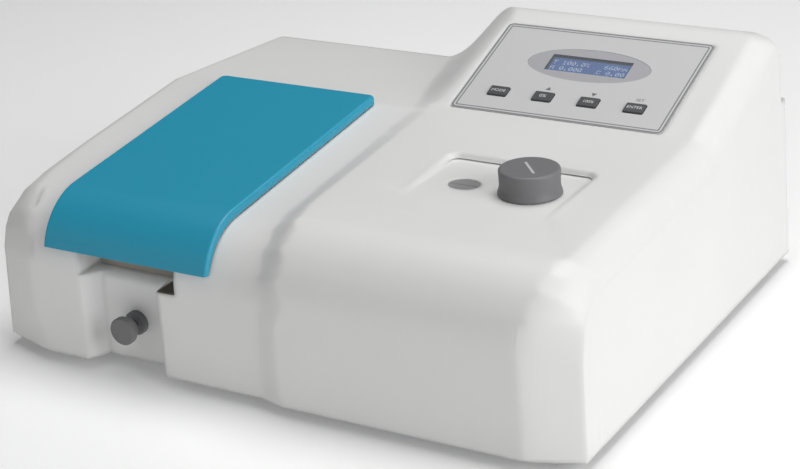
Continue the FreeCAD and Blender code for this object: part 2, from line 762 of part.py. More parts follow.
def top_cover():
    """The one-piece moulded cover: shell, pockets of the front face, tray, panel seat and bosses."""
    outer = housing_form(0.0, 0.0)
    shell = without(outer, [housing_form(WALL, -20.0)])
    notch_walls = box(NOTCH_LEFT - WALL, NOTCH_RIGHT + WALL, DECK_FRONT, NOTCH_BACK + WALL,
                      NOTCH_BOTTOM - WALL, NOTCH_TOP + WALL)
    pad = box(TRAY_LEFT - WALL, TRAY_RIGHT + WALL, TRAY_FRONT - WALL, TRAY_BACK + WALL, PAD_Z, TRAY_FLOOR)
    added = [recess_form(WALL), notch_walls.common(outer), pad.common(outer)]
    for x, y in feet_places():
        post = rod(x, y, PLATE_TOP, BOSS_RADIUS, BOSS_HEIGHT)
        web = box(min(x, math.copysign(WIDTH / 2, x)), max(x, math.copysign(WIDTH / 2, x)),
                  y - WALL / 2, y + WALL / 2, PLATE_TOP, PLATE_TOP + BOSS_HEIGHT)
        added.append(post)
        added.append(web.common(outer))
    cover = fused([shell] + added)
    seat = rounded_box(-PANEL_WIDTH / 2 - BODY_GAP, PANEL_WIDTH / 2 + BODY_GAP, -PANEL_LENGTH / 2 - BODY_GAP,
                       PANEL_LENGTH / 2 + BODY_GAP, PANEL_UNDER, 10, PANEL_CORNER)
    half_u = PANEL_WIDTH / 2 - PANEL_LEDGE
    half_v = PANEL_LENGTH / 2 - PANEL_LEDGE
    through = rounded_box(-half_u, half_u, -half_v, half_v, -3 * WALL, 10, PANEL_CORNER)
    cuts = [
        front_hollow(),
        tray_hollow(),
        on_panel(seat),
        on_panel(through),
        rounded_box(MOUTH_LEFT, MOUTH_RIGHT, MOUTH_FRONT, MOUTH_BACK, NOTCH_TOP, FORM_TOP, MOUTH_CORNER),
        rod(ROD_X, RECESS_BACK - 1, ROD_Z, BUSH_NECK_RADIUS + SEAT, 2 * WALL, Y),
        rod(KNOB_X, KNOB_Y, PAD_Z - 1, BUSH_NECK_RADIUS + SEAT, 2 * TRAY_PAD),
        ellipse_plate(WINDOW_X, WINDOW_Y, PAD_Z - 1, WINDOW_LONG, WINDOW_SHORT, 2 * TRAY_PAD),
        rounded_box(REAR_LEFT, REAR_RIGHT, DEPTH - 2 * WALL, DEPTH + 1, REAR_BOTTOM, REAR_TOP, 0.5),
    ]
    for x, y in feet_places():
        cuts.append(rod(x, y, 0, SCREW_RADIUS + RUNNING, PLATE_TOP + SCREW_DEPTH + 1))
    return without(cover, cuts)


def base_plate():
    """Sheet floor of the instrument, with air slots under the lamp and standoffs for the boards."""
    plan = plan_form(WALL + BODY_GAP, -5.0, FORM_TOP)
    plan = plan.common(box(-WIDTH, WIDTH, WALL + BODY_GAP, DEPTH, PLATE_Z, PLATE_TOP))
    front_strip = box(-WIDTH, DECK_STRIP_RIGHT, 0, DECK_FRONT + WALL + BODY_GAP, 0, 10)
    pocket = box(RECESS_LEFT - WALL - 1, RECESS_RIGHT + WALL + 1, 0, RECESS_BACK + WALL + 1, 0, 10)
    cuts = [front_strip, pocket] + plate_corners(WALL + BODY_GAP, PLATE_TOP)
    for y in air_slots():
        cuts.append(box(LAMP_LEFT + 6, LAMP_LEFT + 16, y, y + AIR_SLOT, 0, 10))
        cuts.append(box(LAMP_RIGHT - 16, LAMP_RIGHT - 6, y, y + AIR_SLOT, 0, 10))
    for x, y in feet_places():
        cuts.append(rod(x, y, 0, SCREW_RADIUS + RUNNING, 10))
    plate = without(plan, cuts)
    return fused([plate] + [rod(x, y, PLATE_TOP, STANDOFF_RADIUS, STANDOFF) for x, y in standoff_places()])


def main_place():
    """Left, right, front and back of the main board, beside the right wall."""
    right = WIDTH / 2 - MAIN_BOARD_SIDE
    return right - MAIN_BOARD_WIDTH, right, MAIN_BOARD_FRONT, MAIN_BOARD_BACK


def power_place():
    return POWER_BOARD_LEFT, POWER_BOARD_RIGHT, POWER_BOARD_FRONT, POWER_BOARD_BACK


def standoff_places():
    places = []
    for left, right, front, back in (main_place(), power_place()):
        for x in (left + BOARD_EDGE, right - BOARD_EDGE):
            for y in (front + BOARD_EDGE, back - BOARD_EDGE):
                places.append((x, y))
    return places


def air_slots():
    """Front edges of the air slots under, over and beside the lamp."""
    return [LAMP_FRONT + AIR_START + number * AIR_PITCH for number in range(AIR_SLOTS)]


def rubber_feet():
    feet = []
    for x, y in feet_places():
        cone = Part.makeCone(FOOT_RADIUS - FOOT_TAPER, FOOT_RADIUS, FOOT_HEIGHT + PLATE_Z,
                             Vector(x, y, -FOOT_HEIGHT))
        well = rod(x, y, -FOOT_HEIGHT - 1, SCREW_HEAD + SCREW_HEAD_ROOM, FOOT_WELL + 1)
        feet.append(cone.cut(well).cut(rod(x, y, -FOOT_HEIGHT, SCREW_RADIUS + RUNNING, 20)))
    return Part.makeCompound(feet)


def foot_screws():
    screws = []
    for x, y in feet_places():
        low = FOOT_WELL - FOOT_HEIGHT
        face = low - SCREW_HEAD_HEIGHT
        head = rod(x, y, face, SCREW_HEAD, SCREW_HEAD_HEIGHT)
        shank = rod(x, y, low, SCREW_RADIUS, PLATE_TOP + SCREW_DEPTH - low)
        slot = box(x - SCREW_HEAD, x + SCREW_HEAD, y - SCREW_SLOT / 2, y + SCREW_SLOT / 2,
                   face - 1, face + SCREW_SLOT_DEPTH)
        screws.append(head.fuse(shank).removeSplitter().cut(slot))
    return Part.makeCompound(screws)


def optical_bench():
    """The rigid plate that holds the whole light path, on six short pillars."""
    under = BENCH_TOP - BENCH_THICKNESS
    plate = rounded_box(BENCH_LEFT, BENCH_RIGHT, BENCH_FRONT, BENCH_BACK, under, BENCH_TOP, BENCH_CORNER)
    pillars = []
    for x in (BENCH_LEFT + PILLAR_INSET, (BENCH_LEFT + BENCH_RIGHT) / 2, BENCH_RIGHT - PILLAR_INSET):
        for y in (BENCH_FRONT + PILLAR_INSET, BENCH_BACK - PILLAR_INSET):
            pillars.append(rod(x, y, PLATE_TOP, PILLAR_RADIUS, under - PLATE_TOP))
    return fused([plate] + pillars)


def chamber_liner():
    """The black sample compartment: floor, four walls up to the deck, and the seats of the two rails."""
    left = MOUTH_LEFT + LINER_INSET
    right = MOUTH_RIGHT - LINER_INSET
    front = MOUTH_FRONT + LINER_INSET
    back = MOUTH_BACK - LINER_INSET
    block = box(left - LINER_WALL, right + LINER_WALL, front - LINER_WALL, back + LINER_WALL,
                LINER_FLOOR, 2 * DECK_HEIGHT)
    block = block.common(DECK.solid(left - 10, right + 10, 0, WALL + SEAT))
    liner = block.cut(box(left, right, front, back, LINER_TOP, 2 * DECK_HEIGHT))
    half = RAIL_SPACING / 2 + 3 * RAIL_RADIUS
    seats = [box(ROD_X - half, ROD_X + half, y, y + RAIL_END, LINER_TOP, RAIL_Z + RAIL_RADIUS + 1)
             for y in (front, back - RAIL_END)]
    liner = fused([liner] + seats)
    holes = [rod(left - 10, BEAM_Y, BEAM_Z, BEAM_HOLE, right - left + 20, X),
             rod(ROD_X, front - 2 * LINER_WALL, ROD_Z, ROD_RADIUS + 2 * BODY_GAP, 3 * LINER_WALL, Y)]
    for side in (-1, 1):
        x = ROD_X + side * RAIL_SPACING / 2
        holes.append(rod(x, front + 1, RAIL_Z, RAIL_RADIUS + SEAT, back - front - 2, Y))
    return without(liner, holes)


def carriage_rails():
    front = MOUTH_FRONT + LINER_INSET + 1 + RAIL_PLAY
    back = MOUTH_BACK - LINER_INSET - 1 - RAIL_PLAY
    rails = [rod(ROD_X + side * RAIL_SPACING / 2, front, RAIL_Z, RAIL_RADIUS, back - front, Y)
             for side in (-1, 1)]
    return Part.makeCompound(rails)


def cell_sled():
    """The sliding carriage: it runs on both rails and takes the end of the pull rod in its lug."""
    half = SLED_WIDTH / 2
    block = box(ROD_X - half, ROD_X + half, SLED_FRONT, SLED_FRONT + SLED_LENGTH, SLED_Z, SLED_TOP)
    lug = box(ROD_X - LUG_HALF, ROD_X + LUG_HALF, SLED_FRONT, SLED_FRONT + ROD_LUG, SLED_TOP,
              ROD_Z + ROD_RADIUS + WALL)
    sled = fused([round_edges(block, SLED_CORNER, upright), lug])
    holes = [rod(ROD_X, SLED_FRONT - 1, ROD_Z, ROD_RADIUS + RUNNING, ROD_LUG, Y)]
    for side in (-1, 1):
        x = ROD_X + side * RAIL_SPACING / 2
        holes.append(rod(x, SLED_FRONT - 1, RAIL_Z, RAIL_RADIUS + RUNNING, SLED_LENGTH + 2, Y))
        inner = ROD_X + side * (RACK_WIDTH / 2 + RACK_FOOT + 2)
        outer = ROD_X + side * (RAIL_SPACING / 2 - 2 * RAIL_RADIUS)
        holes.append(rounded_box(min(inner, outer), max(inner, outer),
                                 SLED_FRONT + SLED_RIB, SLED_FRONT + SLED_LENGTH - SLED_RIB,
                                 SLED_Z - 1, SLED_TOP + 1, SLED_CORNER / 2))
    return without(sled, holes)


def cell_rack():
    """The holder of the square cells: one well for each, with a light window through both walls."""
    half = RACK_WIDTH / 2
    back = RACK_FRONT + RACK_LENGTH
    rack = box(ROD_X - half, ROD_X + half, RACK_FRONT, back, SLED_TOP, SLED_TOP + RACK_HEIGHT)
    foot = rounded_box(ROD_X - half - RACK_FOOT, ROD_X + half + RACK_FOOT, RACK_FRONT, back,
                       SLED_TOP, SLED_TOP + CELL_FLOOR - 2, 3)
    rack = fused([round_edges(rack, 1.5, upright), foot])
    cuts = []
    for number in range(CELL_COUNT):
        y = cell_y(number)
        cuts.append(box(ROD_X - CELL / 2, ROD_X + CELL / 2, y - CELL / 2, y + CELL / 2,
                        SLED_TOP + CELL_FLOOR, SLED_TOP + RACK_HEIGHT + 1))
        cuts.append(box(ROD_X - RACK_WIDTH, ROD_X + RACK_WIDTH, y - CELL_WINDOW / 2, y + CELL_WINDOW / 2,
                        BEAM_Z - CELL_WINDOW, BEAM_Z + CELL_WINDOW))
    return without(rack, cuts)


def pull_rod():
    return rod(ROD_X, PULL_KNOB_FRONT + WALL, ROD_Z, ROD_RADIUS,
               SLED_FRONT + ROD_LUG - 1.5 - PULL_KNOB_FRONT - WALL, Y)


def turned(points, x, y, z, axis):
    """A turned piece from (radius, distance along the axis) points, its axis along Y or Z."""
    across = X if axis == Y else Y
    origin = Vector(x, y, z)
    corners = [origin + across * radius + axis * along for radius, along in points]
    return Part.Face(Part.makePolygon(corners + corners[:1])).revolve(origin, axis, 360)


def pull_knob():
    """The round grip on the front end of the pull rod, slightly waisted behind its face."""
    length = PULL_KNOB_LENGTH
    bore = ROD_RADIUS + SEAT
    knob = turned([(0, 0), (PULL_KNOB_RADIUS, 0), (PULL_KNOB_RADIUS, 5), (PULL_KNOB_RADIUS - 2.5, 6.5),
                   (PULL_KNOB_RADIUS - 2.5, length), (bore, length), (bore, WALL - 0.1), (0, WALL - 0.1)],
                  ROD_X, PULL_KNOB_FRONT, ROD_Z, Y)
    return round_edges(knob, 1.2, lambda edge: edge.BoundBox.ZLength > 1.9 * PULL_KNOB_RADIUS
                       and edge.CenterOfMass.y < PULL_KNOB_FRONT + 5.5)


def rod_bush():
    """Flanged guide in the floor of the recess, which the pull rod slides through."""
    bore = ROD_RADIUS + RUNNING
    front = RECESS_BACK - ROD_BUSH_FLANGE
    bush = turned([(bore, 0), (ROD_BUSH_RADIUS, 0), (ROD_BUSH_RADIUS, ROD_BUSH_FLANGE),
                   (BUSH_NECK_RADIUS, ROD_BUSH_FLANGE), (BUSH_NECK_RADIUS, ROD_BUSH_FLANGE + ROD_BUSH_NECK),
                   (bore, ROD_BUSH_FLANGE + ROD_BUSH_NECK)], ROD_X, front, ROD_Z, Y)
    return round_edges(bush, 0.8, lambda edge: edge.BoundBox.ZLength > 1.9 * ROD_BUSH_RADIUS
                       and edge.CenterOfMass.y < front + 0.1)


def lid_outer():
    """The outside of the lid: the deck's own bend and slope raised over it, with softened edges."""
    form = LID.solid(LID_LEFT, LID_RIGHT, 0)
    form = form.common(box(LID_LEFT - 1, LID_RIGHT + 1, -WIDTH, LID_BACK, LID_LIP, WIDTH)).Solids[0]
    form = round_edges(form, LID_CORNER, lambda edge: upright(edge) and edge.CenterOfMass.y > LID_BACK - 0.1)

    def rim(edge):
        bounds = edge.BoundBox
        at_side = bounds.XLength < 0.1 and bounds.ZMax > LID_LIP + 0.1
        behind = bounds.YMin > LID_BACK - LID_CORNER - 0.1
        straight_up = upright(edge) and behind
        return (at_side and not straight_up) or (behind and bounds.ZMin > LID_LIP + 1 and not straight_up)

    return round_edges(form, LID_EDGE, rim)


def sample_lid():
    """The moulded lid: a thin shell with a rim all round, and two bored lugs at its back edge."""
    hollow = LID.solid(LID_LEFT + LID_WALL, LID_RIGHT - LID_WALL, 0, LID_WALL)
    hollow = hollow.common(box(LID_LEFT, LID_RIGHT, -WIDTH, LID_BACK - LID_WALL, 0, WIDTH))
    under = DECK.solid(LID_LEFT - 1, LID_RIGHT + 1, 0, -LID_GAP)
    lid = lid_outer().cut(under).cut(hollow)
    added = []
    cuts = []
    for x in HINGES:
        ear = HINGE_EAR_WIDTH / 2 + BODY_GAP
        for low, high in ((x - HINGE_PIN_LENGTH / 2, x - ear), (x + ear, x + HINGE_PIN_LENGTH / 2)):
            added.append(box(low, high, HINGE_Y - HINGE_LUG_FRONT, LID_BACK - LID_EDGE, HINGE_Z - LUG_DROP,
                             HINGE_Z + LUG_DROP))
        cuts.append(box(x - ear, x + ear, HINGE_Y - HINGE_SLOT_GAP, LID_BACK + 1, HINGE_Z - 10,
                        HINGE_Z + HINGE_EAR_RADIUS + BODY_GAP))
        cuts.append(rod(x - HINGE_PIN_LENGTH / 2 - 0.5, HINGE_Y, HINGE_Z, HINGE_PIN_RADIUS + RUNNING,
                        HINGE_PIN_LENGTH + 1, X))
    return without(fused([lid] + added), cuts)


def light_shield():
    """The black frame under the lid that dips into the compartment and keeps stray light out."""
    left = MOUTH_LEFT + SHIELD_GAP
    right = MOUTH_RIGHT - SHIELD_GAP
    front = MOUTH_FRONT + SHIELD_GAP
    back = MOUTH_BACK - SHIELD_GAP
    wall = SHIELD_WALL
    low = DECK_HEIGHT / 2
    ring = rounded_box(left, right, front, back, low, WIDTH, MOUTH_CORNER - 1)
    ring = ring.cut(rounded_box(left + wall, right - wall, front + wall, back - wall, low, WIDTH,
                                MOUTH_CORNER - 1 - wall))
    ring = ring.common(LID.solid(left - 1, right + 1, 0, LID_WALL + SEAT))
    return ring.cut(DECK.solid(left - 1, right + 1, 0, SHIELD_DIP))


def lid_seal():
    """Soft strip on the deck round the mouth of the compartment."""
    high = LID_RISE - LID_WALL - 2 * SEAL_SQUEEZE
    outer = deck_layer(MOUTH_LEFT - 1 - SEAL_WIDTH, MOUTH_RIGHT + 1 + SEAL_WIDTH,
                       MOUTH_FRONT - 1 - SEAL_WIDTH, MOUTH_BACK + 1 + SEAL_WIDTH, 0, high)
    return outer.cut(rounded_box(MOUTH_LEFT - 1, MOUTH_RIGHT + 1, MOUTH_FRONT - 1, MOUTH_BACK + 1, 0, WIDTH,
                                 MOUTH_CORNER))


def hinge_brackets():
    """Two small plates on the deck, each with an ear that holds a hinge pin."""
    brackets = []
    for x in HINGES:
        half = HINGE_PIN_LENGTH / 2
        back = HINGE_Y - HINGE_PLATE_GAP
        plate = deck_layer(x - half, x + half, back - HINGE_PLATE_LENGTH, back, 0, HINGE_PLATE)
        ear = HINGE_EAR_WIDTH / 2
        eye = rod(x - ear, HINGE_Y, HINGE_Z, HINGE_EAR_RADIUS, HINGE_EAR_WIDTH, X)
        neck = box(x - ear, x + ear, HINGE_Y - HINGE_EAR_RADIUS, HINGE_Y + HINGE_EAR_RADIUS,
                   HINGE_Z - HINGE_RISE - 2, HINGE_Z)
        heel = deck_layer(x - ear, x + ear, back - 1, HINGE_Y + HINGE_EAR_RADIUS, 0, HINGE_PLATE)
        neck = neck.cut(DECK.solid(x - 20, x + 20, 0))
        bracket = fused([plate, heel, neck, eye])
        hole = rod(x - 20, HINGE_Y, HINGE_Z, HINGE_PIN_RADIUS + RUNNING / 2, 40, X)
        brackets.append(without(bracket, [hole]))
    return Part.makeCompound(brackets)


def hinge_pins():
    pins = [rod(x - HINGE_PIN_LENGTH / 2, HINGE_Y, HINGE_Z, HINGE_PIN_RADIUS, HINGE_PIN_LENGTH, X)
            for x in HINGES]
    return Part.makeCompound(pins)


def wavelength_knob():
    """The turned grip: a flared foot under a narrow waist, hollow round its boss, with an index groove."""
    inside = KNOB_WAIST_RADIUS - WALL
    bore = SHAFT_RADIUS + RUNNING
    boss = 2.4 * SHAFT_RADIUS
    roof = KNOB_HEIGHT - WALL
    knob = turned([(boss, KNOB_BOSS_LIFT), (boss, roof), (inside, roof), (inside, 0),
                   (KNOB_FOOT_RADIUS, 0), (KNOB_FOOT_RADIUS, 1.2),
                   (KNOB_WAIST_RADIUS, 3.2), (KNOB_TOP_RADIUS, KNOB_HEIGHT),
                   (0, KNOB_HEIGHT), (0, roof - 0.5), (bore, roof - 0.5), (bore, KNOB_BOSS_LIFT)],
                  KNOB_X, KNOB_Y, KNOB_Z, Z)
    knob = round_edges(knob, 1.5, lambda edge: edge.CenterOfMass.z > KNOB_Z + KNOB_HEIGHT - 0.1)
    groove = box(-0.2 * KNOB_TOP_RADIUS, KNOB_TOP_RADIUS - 3, -INDEX_WIDTH / 2, INDEX_WIDTH / 2, 0, 2)
    groove.rotate(Vector(), Z, KNOB_INDEX)
    return without(knob, [groove.translated(Vector(KNOB_X, KNOB_Y, KNOB_Z + KNOB_HEIGHT - INDEX_DEPTH))])


def knob_shaft():
    return rod(KNOB_X, KNOB_Y, BENCH_TOP + BODY_GAP, SHAFT_RADIUS,
               KNOB_Z + KNOB_HEIGHT - WALL - 1 - BENCH_TOP - BODY_GAP)


def knob_bush():
    """Threaded bush through the tray, with a flange on top and a nut below."""
    bore = SHAFT_RADIUS + RUNNING
    neck = BUSH_NECK_RADIUS
    return turned([(bore, 0), (neck + 3, 0), (neck + 3, 3), (neck, 3),
                   (neck, 3 + TRAY_PAD), (neck + 2, 3 + TRAY_PAD),
                   (neck + 2, 4.5 + TRAY_PAD), (bore, 4.5 + TRAY_PAD)], KNOB_X, KNOB_Y, PAD_Z - 3, Z)


def shaft_bearing():
    bore = SHAFT_RADIUS + RUNNING
    return turned([(bore, 0), (8, 0), (8, 3), (6, 4), (6, 11), (bore, 11)], KNOB_X, KNOB_Y, BENCH_TOP, Z)


def wavelength_dial():
    """The thin scale disc under the reading window, on its hub."""
    bore = SHAFT_RADIUS + RUNNING
    low = DIAL_TOP - DIAL_THICKNESS
    return turned([(bore, -6), (8, -6), (8, 0), (DIAL_RADIUS, 0), (DIAL_RADIUS, DIAL_THICKNESS),
                   (bore, DIAL_THICKNESS)], KNOB_X, KNOB_Y, low, Z)


def reading_window():
    """Clear window over the dial, flanged below the tray."""
    plug = ellipse_plate(WINDOW_X, WINDOW_Y, PAD_Z, WINDOW_LONG - SEAT, WINDOW_SHORT - SEAT,
                         TRAY_PAD - WINDOW_SUNK)
    flange = ellipse_plate(WINDOW_X, WINDOW_Y, PAD_Z - WINDOW_FLANGE, WINDOW_LONG + WINDOW_LAP,
                           WINDOW_SHORT + WINDOW_LAP, WINDOW_FLANGE)
    return fused([plug, flange])


def gear_points(teeth, first, last, turn):
    """Outline of straight-flanked teeth number first to last-1 of a wheel of that many teeth."""
    pitch = GEAR_MODULE * teeth / 2
    step = 2 * math.pi / teeth
    half = step / 4 - GEAR_BACKLASH / 2 / pitch
    points = []
    for number in range(first, last):
        middle = turn + number * step
        for share, radius in ((1.45, pitch - 1.1 * GEAR_MODULE), (0.55, pitch + 0.9 * GEAR_MODULE)):
            points.append((radius, middle - share * half))
        for share, radius in ((0.55, pitch + 0.9 * GEAR_MODULE), (1.45, pitch - 1.1 * GEAR_MODULE)):
            points.append((radius, middle + share * half))
    return [Vector(radius * math.cos(angle), radius * math.sin(angle), 0) for radius, angle in points]


def drive_pinion():
    """Small gear on the knob's shaft. One tooth points at the sector."""
    points = gear_points(PINION_TEETH, 0, PINION_TEETH, math.pi)
    gear = Part.Face(Part.makePolygon(points + points[:1])).extrude(Z * (GEAR_WIDTH + 2))
    gear = gear.cut(rod(0, 0, -1, SHAFT_RADIUS + RUNNING / 2, GEAR_WIDTH + 4))
    return gear.translated(Vector(KNOB_X, KNOB_Y, GEAR_Z - 1))


def sector_gear():
    """Toothed sector on the grating's spindle, lightened by a window. A gap faces the pinion."""
    step = 2 * math.pi / SECTOR_TEETH_FULL
    half = SECTOR_TEETH // 2
    points = gear_points(SECTOR_TEETH_FULL, -half, half, step / 2)
    pitch = GEAR_MODULE * SECTOR_TEETH_FULL / 2
    web = SPINDLE_RADIUS + 5
    hub_low = Vector(0, -web, 0)
    hub_high = Vector(0, web, 0)
    plate = Part.Face(Part.makePolygon([hub_low] + points + [hub_high, hub_low])).extrude(Z * GEAR_WIDTH)
    wheel = fused([plate, rod(0, 0, 0, web, GEAR_WIDTH)])
    spread = half * step - math.radians(4)
    inner = web + 6
    outer = pitch - 7
    window = [Vector(radius * math.cos(angle), radius * math.sin(angle), -1) for radius, angle in
              ((inner, -spread * 0.6), (outer, -spread), (outer, spread), (inner, spread * 0.6))]
    wheel = without(wheel, [Part.Face(Part.makePolygon(window + window[:1])).extrude(Z * (GEAR_WIDTH + 2)),
                            rod(0, 0, -1, SPINDLE_RADIUS + RUNNING / 2, GEAR_WIDTH + 2)])
    return wheel.translated(Vector(SPINDLE_X, KNOB_Y, GEAR_Z))


def grating_holder():
    """Spindle and yoke that turn the grating: a stub in the floor, a table, a back plate and the shaft."""
    low = BENCH_TOP + BODY_GAP
    table = BENCH_TOP + MONO_WALL + 4
    top = BEAM_Z + GRATING / 2 + 4
    yoke = [rod(0, 0, low, SPINDLE_RADIUS, table - low + 1),
            rod(0, 0, table, GRATING / 2, 3),
            box(-GRATING / 2 + 3, GRATING / 2 - 3, 2, 6, table, top + 3),
            rod(0, 0, top, GRATING / 2, 3),
            rod(0, 0, top, SPINDLE_RADIUS, GEAR_Z + GEAR_WIDTH + 2 - top)]
    holder = fused(yoke)
    holder.rotate(Vector(), Z, GRATING_TURN)
    return holder.translated(Vector(SPINDLE_X, KNOB_Y, 0))


def grating_plate():
    half = GRATING / 2 - 4
    plate = box(-half, half, -4, 2 - SEAT, BEAM_Z - half, BEAM_Z + half)
    plate.rotate(Vector(), Z, GRATING_TURN)
    return plate.translated(Vector(SPINDLE_X, KNOB_Y, 0))


def monochromator_case():
    """Cast box of the monochromator, open on top, with its two light holes and the spindle's bore."""
    wall = MONO_WALL
    block = rounded_box(MONO_LEFT, MONO_RIGHT, MONO_FRONT, MONO_BACK, BENCH_TOP, MONO_TOP, MONO_CORNER)
    case = block.cut(rounded_box(MONO_LEFT + wall, MONO_RIGHT - wall, MONO_FRONT + wall, MONO_BACK - wall,
                                 BENCH_TOP + wall, MONO_TOP + 1, MONO_CORNER / 2))
    holes = [rod(MONO_LEFT - 1, BEAM_Y, BEAM_Z, BEAM_HOLE, wall + 2, X),
             rod(ENTRY_X, MONO_BACK - wall - 1, BEAM_Z, BEAM_HOLE, wall + 2, Y),
             rod(SPINDLE_X, KNOB_Y, BENCH_TOP - 1, SPINDLE_RADIUS + RUNNING, wall + 2)]
    return without(case, holes)


def monochromator_lid():
    lid = rounded_box(MONO_LEFT, MONO_RIGHT, MONO_FRONT, MONO_BACK, MONO_TOP, MONO_TOP + MONO_LID,
                      MONO_CORNER)
    return lid.cut(rod(SPINDLE_X, KNOB_Y, MONO_TOP - 1, SPINDLE_RADIUS + RUNNING, MONO_LID + 2))


def slit_plates():
    """Entrance and exit slits, thin plates inside the two light holes."""
    x = MONO_LEFT + MONO_WALL
    y = MONO_BACK - MONO_WALL
    half = SLIT_PLATE_HALF
    low, high = BEAM_Z - half - 2, BEAM_Z + half + 2
    leaving = box(x, x + SLIT_PLATE, BEAM_Y - half, BEAM_Y + half, low, high)
    leaving = leaving.cut(box(x - 1, x + 2, BEAM_Y - SLIT_HALF, BEAM_Y + SLIT_HALF,
                              BEAM_Z - BEAM_HOLE, BEAM_Z + BEAM_HOLE))
    entering = box(ENTRY_X - half, ENTRY_X + half, y - SLIT_PLATE, y, low, high)
    entering = entering.cut(box(ENTRY_X - SLIT_HALF, ENTRY_X + SLIT_HALF, y - 2, y + 1,
                                BEAM_Z - BEAM_HOLE, BEAM_Z + BEAM_HOLE))
    return Part.makeCompound([leaving, entering])


def mirror_places():
    """Where the collimating and the focusing mirror stand, and how far each is turned."""
    return ((ENTRY_X, MONO_FRONT + MIRROR_SET_BACK, -COLLIMATOR_TURN),
            (SPINDLE_X - FOCUS_MIRROR_BEHIND, BEAM_Y, FOCUS_MIRROR_TURN))


def concave_mirror(x, y, turn):
    """A round concave mirror on its post, facing along +y before it is turned."""
    disc = rod(0, 0, 0, MIRROR_RADIUS, MIRROR_THICKNESS, Y)
    curve = Part.makeSphere(MIRROR_FOCUS, Vector(0, MIRROR_FOCUS + MIRROR_THICKNESS - MIRROR_HOLLOW, 0))
    mirror = disc.cut(curve)
    mirror.rotate(Vector(), Z, turn)
    return mirror.translated(Vector(x, y, BEAM_Z))


def collimating_mirror():
    return concave_mirror(*mirror_places()[0])


def focusing_mirror():
    return concave_mirror(*mirror_places()[1])


def mirror_mounts():
    """Posts on the floor of the box that hold the two mirrors from behind."""
    floor = BENCH_TOP + MONO_WALL
    posts = []
    for x, y, turn in mirror_places():
        post = box(-MIRROR_RADIUS, MIRROR_RADIUS, -MIRROR_PLATE - SEAT, -SEAT, floor, BEAM_Z + MIRROR_RADIUS)
        base = box(-MIRROR_RADIUS, MIRROR_RADIUS, -2.5 * MIRROR_PLATE, -SEAT, floor, floor + 3)
        mount = fused([post, base])
        mount.rotate(Vector(), Z, turn)
        posts.append(mount.translated(Vector(x, y, 0)))
    return Part.makeCompound(posts)


def light_tube(x, y, length, axis):
    """A short tube that carries the beam between two housings, with its lens inside."""
    outer = Part.makeCylinder(TUBE_RADIUS, length - 2 * SEAT, Vector(x, y, BEAM_Z) + axis * SEAT, axis)
    return outer.cut(Part.makeCylinder(TUBE_RADIUS - TUBE_WALL, length, Vector(x, y, BEAM_Z), axis))


def beam_tubes():
    start = MOUTH_RIGHT - LINER_INSET + LINER_WALL
    return Part.makeCompound([light_tube(start, BEAM_Y, MONO_LEFT - start, X),
                              light_tube(ENTRY_X, MONO_BACK, LAMP_FRONT - MONO_BACK, Y)])


def beam_lenses():
    """A plano-convex lens in each tube, turned from its flat face and its shallow dome."""
    start = MOUTH_RIGHT - LINER_INSET + LINER_WALL
    radius = TUBE_RADIUS - TUBE_WALL - SEAT
    dome = LENS_CURVE - math.sqrt(LENS_CURVE ** 2 - radius ** 2)
    lenses = []
    for x, y, axis, across in (((start + MONO_LEFT) / 2, BEAM_Y, X, Y),
                               (ENTRY_X, (MONO_BACK + LAMP_FRONT) / 2, Y, X)):
        middle = Vector(x, y, BEAM_Z)
        rim = middle + across * radius
        tip = middle + axis * (LENS_RIM + dome)
        shoulder = rim + axis * LENS_RIM
        half_dome = math.sqrt(LENS_CURVE ** 2 - radius ** 2 / 4) - LENS_CURVE + dome
        half = middle + across * (radius / 2) + axis * (LENS_RIM + half_dome)
        outline = [Part.makeLine(middle, rim), Part.makeLine(rim, shoulder),
                   Part.Arc(shoulder, half, tip).toShape(), Part.makeLine(tip, middle)]
        lenses.append(Part.Face(Part.Wire(outline)).revolve(middle, axis, 360))
    return Part.makeCompound(lenses)


def detector_left():
    return MOUTH_LEFT + LINER_INSET - LINER_WALL - SEAT - DETECTOR_DEPTH


def detector_housing():
    """Light-tight box of the detector against the left wall of the compartment."""
    left = detector_left()
    right = left + DETECTOR_DEPTH
    half = DETECTOR_HALF
    block = rounded_box(left, right, BEAM_Y - half, BEAM_Y + half, BENCH_TOP, MONO_TOP, 3)
    inner = half - DETECTOR_WALL
    block = block.cut(box(left - 1, right - DETECTOR_WALL, BEAM_Y - inner, BEAM_Y + inner,
                          BENCH_TOP + DETECTOR_WALL, MONO_TOP - DETECTOR_WALL))
    return block.cut(rod(right - 2 * DETECTOR_WALL, BEAM_Y, BEAM_Z, BEAM_HOLE, 4 * DETECTOR_WALL, X))


def detector_board():
    left = detector_left() + DETECTOR_BOARD_IN
    half = DETECTOR_HALF - DETECTOR_WALL - SEAT
    return box(left, left + BOARD, BEAM_Y - half, BEAM_Y + half, BENCH_TOP + DETECTOR_WALL + SEAT,
               MONO_TOP - DETECTOR_WALL - SEAT)


def photodiode():
    left = detector_left() + DETECTOR_BOARD_IN + BOARD
    can = rod(left, BEAM_Y, BEAM_Z, 5.5, 1, X).fuse(rod(left, BEAM_Y, BEAM_Z, 4.5, 6, X))
    return can.removeSplitter()


